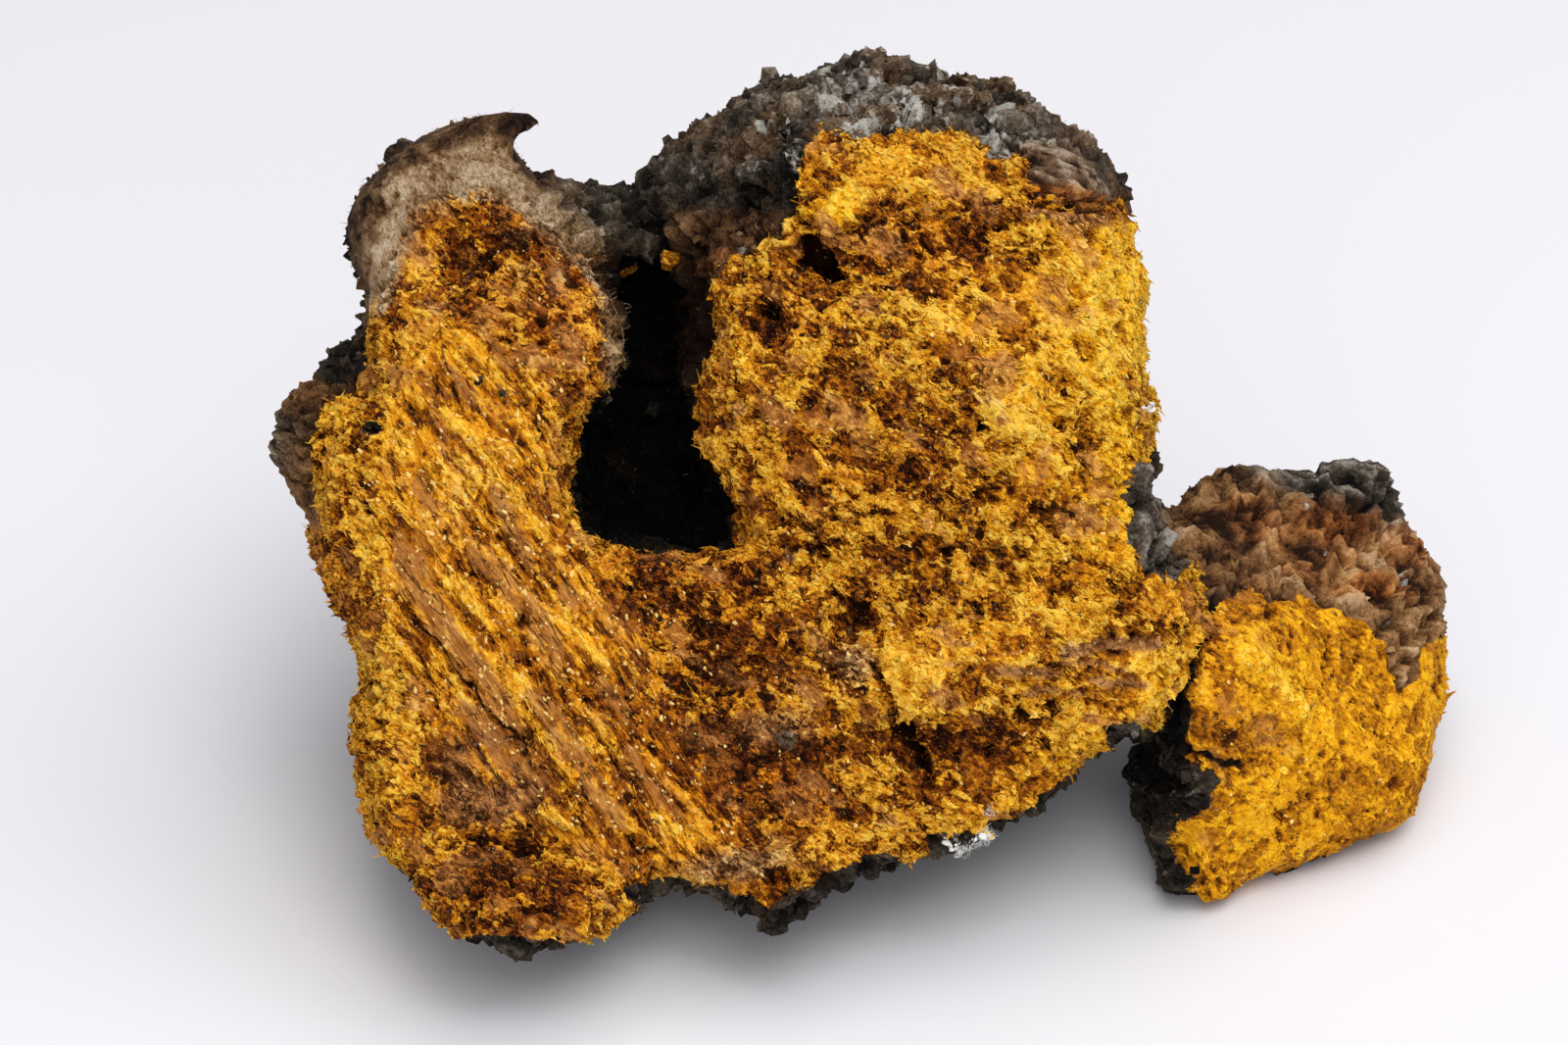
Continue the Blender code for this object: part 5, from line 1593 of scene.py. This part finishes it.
def loose_bits(skin, surface):
    rng = np.random.default_rng(424)
    p, v = skin.corners, skin.values
    high = step(p[:, 2], 1.2, 2.0)
    flesh = np.clip(1.0 - 1.6 * v["crust"], 0, 1) * high
    col, row, depth = to_grid(p)
    flesh *= 1.0 - in_hollow(col, row, depth)
    clumps = 0.25 + step(grain(p, 1.6, 200) + 0.4 * grain(p, 0.7, 201), -0.1, 0.45)
    powdery = step(v["score"], -0.2, 0.6)
    lobe = inside(col, row, LOBE_FACE, 10.0)

    # torn crumbs over the flesh
    weight = flesh * clumps * (1.0 - 0.85 * v["tan"]) * (1.0 - 0.6 * v["calm"])
    n = 14000
    at, out, near = skin.strewn(weight, n, rng)
    size = sizes_of(rng, n, 0.10, 0.40, 0.05, 0.27)
    axes = axes_on(out, unit(rng.normal(size=(n, 3))))
    shape = SHARD[0][None] * (1.0 + 0.45 * rng.uniform(-1, 1, (n, 6, 1)))
    shape = shape * (size[:, None] * rng.uniform(0.6, 1.5, (n, 3)))[:, None, :]
    shape = shape @ turns(*rng.uniform(-3.1, 3.1, (3, n)))
    corners = shape @ axes + (at + out * (size * 0.25)[:, None])[:, None]
    tone = v["tone"][near] + rng.uniform(-0.16, 0.16, n)
    joined("flesh_crumbs", corners, SHARD[1], skin.look(near, tone=tone, crust=np.zeros(n)), surface)

    # thin torn flakes, most of them lying nearly flat
    n = 8500
    weight = flesh * clumps * (0.25 + powdery) * (1.0 - 0.8 * v["tan"]) * (1.0 - 0.85 * lobe) * (1.0 - 0.5 * v["fibrous"])
    at, out, near = skin.strewn(weight, n, rng)
    way = fibre_way(np.where(v["fibrous"][near] > 0.4, 56.0, 34.0) + rng.normal(size=n) * 22)
    size = sizes_of(rng, n, 0.20, 0.38, 0.10, 0.50)
    shape = PLATE[0][None] * (1.0 + 0.40 * rng.uniform(-1, 1, (n, 8, 1)))
    shape = shape * np.stack((size * rng.uniform(0.9, 1.9, n), size * rng.uniform(0.35, 0.8, n),
                              rng.uniform(0.025, 0.05, n)), 1)[:, None, :]
    shape[..., 2] += 0.35 * (shape[..., 0] ** 2) / size[:, None]
    shape = shape @ turns(rng.normal(size=n) * 0.42, rng.normal(size=n) * 0.2, rng.normal(size=n) * 0.3)
    corners = shape @ axes_on(out, way) + (at + out * (size * 0.12)[:, None])[:, None]
    tone = v["tone"][near] + rng.uniform(-0.10, 0.20, n)
    joined("flesh_flakes", corners, PLATE[1], skin.look(near, tone=tone, crust=np.zeros(n)), surface)

    # splinters of fibre, lying their fibres' way
    n = 8000
    weight = flesh * (0.14 + 0.86 * v["fibrous"]) * (1.0 - 0.45 * v["tan"]) * (1.0 - 0.92 * lobe)
    at, out, near = skin.strewn(weight, n, rng)
    way = fibre_way(np.where(v["fibrous"][near] > 0.4, 56.0, 32.0) + rng.normal(size=n) * 10)
    long = sizes_of(rng, n, 0.36, 0.40, 0.16, 0.85)
    shape = SHARD[0][None] * (1.0 + 0.3 * rng.uniform(-1, 1, (n, 6, 1)))
    shape = shape * np.stack((long, rng.uniform(0.035, 0.075, n), rng.uniform(0.03, 0.06, n)), 1)[:, None, :]
    shape = shape @ turns(rng.normal(size=n) * 0.1, rng.normal(size=n) * 0.13, rng.normal(size=n) * 0.10)
    corners = shape @ axes_on(out, way) + (at + out * 0.03)[:, None]
    tone = v["tone"][near] + rng.uniform(-0.18, 0.20, n)
    joined("flesh_splinters", corners, SHARD[1], skin.look(near, tone=tone, crust=np.zeros(n)), surface)

    # angular blocks and grit on the crust
    crust = np.clip(1.8 * v["crust"] - 0.8, 0, 1) * high * (1.0 - 0.95 * thin_rim(col, row))
    crust *= 1.0 - 0.9 * inside(col, row, SHELF_CRUST, 3.0)
    clumps = 0.2 + step(grain(p, 3.2, 202) + 0.5 * grain(p, 1.2, 203), -0.1, 0.5)
    bare = crust * (1.0 - 0.98 * inside(col, row, LOBE_TOP, 12.0)) * (1.0 - 0.9 * v["pink"]) * (
        1.0 - 0.8 * inside(col, row, CRUST_PATCHES[0][0], 8.0)) * (
        1.0 - 0.6 * inside(col, row, [(536, 186), (640, 180), (700, 230), (660, 300), (610, 290)], 12.0))
    bare *= 1.0 - oval(col, row, 510, 118, 70, 24, 0, 3.0)
    n = 4500
    at, out, near = skin.strewn(bare * clumps, n, rng)
    size = sizes_of(rng, n, 0.30, 0.36, 0.16, 0.60)
    shape = BLOCK[0][None] * (1.0 + 0.30 * rng.uniform(-1, 1, (n, 8, 3)))
    shape = shape * (size[:, None] * rng.uniform(0.45, 1.15, (n, 3)))[:, None, :]
    shape = shape @ turns(*rng.uniform(-3.1, 3.1, (3, n)))
    corners = shape @ axes_on(out, unit(rng.normal(size=(n, 3)))) + (at - out * (size * 0.10)[:, None])[:, None]
    tone = v["crust_tone"][near] + rng.uniform(-0.14, 0.16, n)
    joined("crust_blocks", corners, BLOCK[1], skin.look(near, crust_tone=tone, crust=np.ones(n), dust=0.5 * v["dust"][near]), surface)

    n = 9000
    at, out, near = skin.strewn((0.25 * crust + 0.75 * bare) * clumps, n, rng)
    size = sizes_of(rng, n, 0.15, 0.40, 0.07, 0.40)
    shape = SHARD[0][None] * (1.0 + 0.4 * rng.uniform(-1, 1, (n, 6, 1)))
    shape = shape * (size[:, None] * rng.uniform(0.6, 1.4, (n, 3)))[:, None, :]
    shape = shape @ turns(*rng.uniform(-3.1, 3.1, (3, n)))
    corners = shape @ axes_on(out, unit(rng.normal(size=(n, 3)))) + (at + out * (size * 0.3)[:, None])[:, None]
    tone = v["crust_tone"][near] + rng.uniform(-0.14, 0.26, n)
    joined("crust_grit", corners, SHARD[1], skin.look(near, crust_tone=tone, crust=np.ones(n), dust=0.7 * v["dust"][near]), surface)

    # cream flecks, thick on the fibrous left and thin elsewhere
    cream = plain_material("cream_fleck", (220, 170, 80), (244, 214, 140), 0.2)
    spots = []
    for outline, count in (
        ([(400, 360), (560, 400), (590, 560), (660, 640), (720, 780), (760, 850), (640, 880), (540, 820),
          (430, 740), (370, 600), (360, 440)], 330),
        ([(400, 430), (520, 440), (540, 560), (430, 560)], 70),
        ([(520, 440), (600, 560), (700, 640), (700, 860), (560, 850), (480, 700)], 120),
        ([(640, 580), (860, 580), (1060, 660), (1060, 780), (860, 860), (700, 860)], 110),
        ([(730, 280), (1160, 240), (1160, 560), (1000, 600), (760, 560)], 140),
        ([(410, 220), (600, 260), (610, 400), (400, 400)], 40),
        ([(1240, 640), (1420, 680), (1430, 830), (1250, 900)], 20),
    ):
        box = np.array(outline, float)
        tries = rng.uniform(box.min(0), box.max(0), (count * 3, 2))
        keep = inside(tries[:, 0], tries[:, 1], outline, 0.5) > 0.5
        spots += tries[keep][:count].tolist()
    found = [s for s in (skin.seen(c, r) for c, r in spots) if s and s[1] @ TOWARD > 0.1 and v["crust"][s[2]] < 0.4]
    at, out, near = (np.array([s[i] for s in found]) for i in range(3))
    n = len(at)
    way = fibre_way(56.0 + rng.normal(size=n) * 30)
    size = sizes_of(rng, n, 0.090, 0.32, 0.05, 0.17)
    shape = LUMP[0][None] * (1.0 + 0.25 * rng.uniform(-1, 1, (n, 12, 1)))
    shape = shape * np.stack((size * rng.uniform(1.2, 2.3, n), size, size * 0.7), 1)[:, None, :]
    corners = shape @ axes_on(out, way) + (at + out * 0.04)[:, None]
    joined("cream_flecks", corners, LUMP[1], {}, cream)

    # hairs on the weathered band and fine fibres along the torn rim
    hair = plain_material("pale_hair", (128, 104, 76), (190, 168, 134), 0.3)
    weight = v["pink"] * high * step(v["crust"], 0.2, 0.6)
    n = 1500
    at, out, near = skin.strewn(weight, n, rng)
    start = unit(0.30 * out + 0.8 * unit(rng.normal(size=(n, 3))) + np.array((0.3, 0.0, 0.1)))
    path = curled(at, start, sizes_of(rng, n, 0.45, 0.4, 0.22, 1.0), 5, 0.45, rng)
    corners, faces = strands(path, rng.uniform(0.016, 0.030, n))
    joined("band_hairs", corners, faces, {}, hair)

    dark_hair = plain_material("brown_hair", (58, 44, 32), (112, 92, 70), 0.3)
    weight = high * step(v["crust"], 0.4, 0.8) * (
        inside(col, row, [(340, 320), (340, 200), (400, 130), (500, 100), (570, 100), (570, 150), (520, 150),
                          (440, 150), (390, 190), (372, 250), (372, 330)], 6.0)
        + 0.15 * inside(col, row, [(270, 340), (380, 340), (380, 420), (320, 540), (270, 540)], 6.0))
    n = 600
    at, out, near = skin.strewn(weight, n, rng)
    start = unit(0.7 * out + 0.7 * unit(rng.normal(size=(n, 3))))
    path = curled(at, start, sizes_of(rng, n, 0.42, 0.4, 0.2, 0.9), 5, 0.4, rng)
    corners, faces = strands(path, rng.uniform(0.018, 0.032, n))
    joined("dark_hairs", corners, faces, {}, dark_hair)

    yellow = plain_material("torn_fibre", (196, 138, 38), (246, 214, 120), 0.3)
    weight = flesh * (0.25 + powdery) * (1.0 - 0.95 * lobe)
    n = 1000
    at, out, near = skin.strewn(weight, n, rng)
    way = fibre_way(np.where(v["fibrous"][near] > 0.4, 54.0, 34.0) + rng.normal(size=n) * 25)
    start = unit(0.12 * out + way * rng.choice((-1.0, 1.0), n)[:, None])
    path = curled(at, start, sizes_of(rng, n, 0.5, 0.4, 0.25, 1.0), 5, 0.35, rng)
    corners, faces = strands(path, rng.uniform(0.018, 0.032, n))
    joined("torn_fibres", corners, faces, {}, yellow)

    # white mould under the nose, and its loops
    mould = plain_material("white_mould", (196, 198, 192), (240, 240, 236), 0.3)
    starts, ways, long = [], [], []
    for c, r, reach, count in ((983, 868, 7, 170), (1009, 853, 8, 200), (1010, 828, 6, 40), (996, 861, 8, 70),
                               (930, 112, 16, 60), (878, 130, 10, 40)):
        for _ in range(count):
            hit = skin.seen(c + rng.normal() * reach * 0.6, r + rng.normal() * reach * 0.45)
            if hit:
                starts.append(hit[0])
                ways.append(unit(0.6 * hit[1] + 0.9 * unit(rng.normal(size=3))))
                long.append(rng.uniform(0.3, 0.9))
    path = curled(np.array(starts), np.array(ways), np.array(long), 7, 0.7, rng)
    corners, faces = strands(path, rng.uniform(0.018, 0.034, len(path)))
    joined("mould_threads", corners, faces, {}, mould)
    starts, out = [], []
    for c, r, reach, count in ((983, 872, 9, 26), (1008, 856, 10, 30), (968, 860, 8, 12), (1176, 418, 7, 14)):
        for _ in range(count):
            hit = skin.seen(c + rng.normal() * reach * 0.7, r + rng.normal() * reach * 0.45)
            if hit:
                starts.append(hit[0])
                out.append(hit[1])
    at, out = np.array(starts), np.array(out)
    n = len(at)
    corner, face = ball(2)
    size = sizes_of(rng, n, 0.14, 0.35, 0.08, 0.28)
    shape = corner[None] * (1.0 + 0.20 * rng.uniform(-1, 1, (n, len(corner), 1)))
    shape = shape * (size[:, None] * rng.uniform(0.6, 1.5, (n, 3)))[:, None, :]
    corners = shape @ axes_on(out, unit(rng.normal(size=(n, 3)))) + (at + out * (size * 0.3)[:, None])[:, None]
    joined("mould_crumbs", corners, face, {}, mould, smooth=True)

    # two orange crumbs on the ledge above the hollow
    corner, face = ball(3)
    for name, c, r, half in (("orange_crumb_left", 637, 272, (0.88, 0.62, 0.70)),
                             ("orange_crumb_right", 683, 264, (0.70, 0.62, 0.80))):
        hit = skin.seen(c, r + 6)
        if hit is None:
            continue
        q = corner * np.array(half)
        q = q * (1.0 + 0.42 * grain(q, 0.9, 210) + 0.30 * grain(q, 0.45, 211) + 0.14 * grain(q, 0.2, 212))[:, None]
        place = hit[0] + TOWARD * 0.9 + np.array((0.0, 0.0, 0.25))
        look = skin.look(np.full(len(q), hit[2]), crust=np.zeros(len(q)), tone=0.56 + 0.35 * grain(q, 0.5, 213),
                         rust=np.full(len(q), 0.85), lemon=np.zeros(len(q)), tan=np.zeros(len(q)),
                         pink=np.zeros(len(q)), calm=np.zeros(len(q)), fibrous=np.zeros(len(q)))
        made = joined(name, (q + place)[None], face, {}, surface)
        add_values(made.data, look)

    # a pale strand from the arm's edge over the hollow, and two pale hairs, with their ends in the skin
    lines = []
    top, low = skin.seen(621, 302), skin.seen(621, 394)
    if top and low and np.linalg.norm(top[0] - low[0]) < 11.0:
        t = np.linspace(0.0, 1.0, 5)[:, None]
        bow = np.sin(math.pi * t)
        lines.append((top[0] + (low[0] - top[0]) * t + bow * np.array((1.2, 0.0, 0.0)) + (0.35 * bow - 0.10) * TOWARD, 0.032))
    for places in ([(970, 629), (960, 637), (950, 645), (940, 655), (937, 670)],
                   [(970, 585), (975, 592), (982, 596), (988, 598), (992, 601)]):
        hits = [skin.seen(c, r) for c, r in places]
        if all(hits):
            lift = np.array((-0.10, 0.04, 0.08, 0.04, -0.10))[:, None]
            lines.append((np.array([hit[0] for hit in hits]) + lift * TOWARD, 0.035))
    if lines:
        corners, faces = strands(np.array([path for path, _ in lines]), np.array([half for _, half in lines]), 0.6)
        joined("pale_strands", corners, faces, {}, hair)


# ---------------------------------------------------------------- scene
chaga = body()
surface_material = body_material()
chaga.data.materials.append(surface_material)
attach(chaga, "root")
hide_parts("chaga")
loose_bits(Skin(chaga.data), surface_material)


def floor_and_light():
    n = Nodes("studio_floor")
    n.put(n.output.inputs["Surface"], n.shader(tint((225, 224, 228)), 0.75, None, 0.2))
    bm = bmesh.new()
    bmesh.ops.create_grid(bm, x_segments=8, y_segments=8, size=1.6)
    mesh = bpy.data.meshes.new("floor")
    bm.to_mesh(mesh)
    bm.free()
    mesh.materials.append(n.material)
    floor = scratch_object(mesh, "floor")

    world = bpy.data.worlds.new("studio")
    bpy.context.scene.world = world
    world.use_nodes = True
    back = world.node_tree.nodes["Background"]
    back.inputs["Color"].default_value = (*tint((246, 246, 250)), 1.0)
    back.inputs["Strength"].default_value = 0.42

    def lamp(name, place, size, power, colour=(1.0, 1.0, 1.0)):
        light = bpy.data.lights.new(name, "AREA")
        light.shape = "DISK"
        light.size = size
        light.energy = power
        light.color = colour
        obj = bpy.data.objects.new(name, light)
        obj.location = place
        obj.rotation_euler = (Vector(place) - Vector((0, 0, 0.025))).to_track_quat("Z", "Y").to_euler()
        bpy.context.scene.collection.objects.link(obj)

    lamp("key", (0.24, 0.02, 0.78), 1.10, 5.2, (1.0, 0.99, 0.975))
    lamp("front", (0.12, -0.50, 0.80), 0.60, 3.0)
    lamp("low", (-0.06, -0.76, 0.34), 0.80, 2.5)


def camera():
    data = bpy.data.cameras.new("camera")
    data.sensor_fit = "HORIZONTAL"
    data.sensor_width = 36.0
    data.lens = 36.0 * FAN / (1600.0 * PITCH)
    data.clip_start = 0.01
    obj = bpy.data.objects.new("camera", data)
    aim = Vector((SHIFT[0] * 0.001, SHIFT[1] * 0.001, REST_HEIGHT * 0.001))
    toward = Vector(TOWARD)
    obj.location = aim + toward * FAN * 0.001
    obj.rotation_euler = toward.to_track_quat("Z", "Y").to_euler()
    bpy.context.scene.collection.objects.link(obj)
    bpy.context.scene.camera = obj


floor_and_light()
camera()
bpy.context.scene.view_settings.view_transform = "Standard"

bpy.context.view_layer.update()
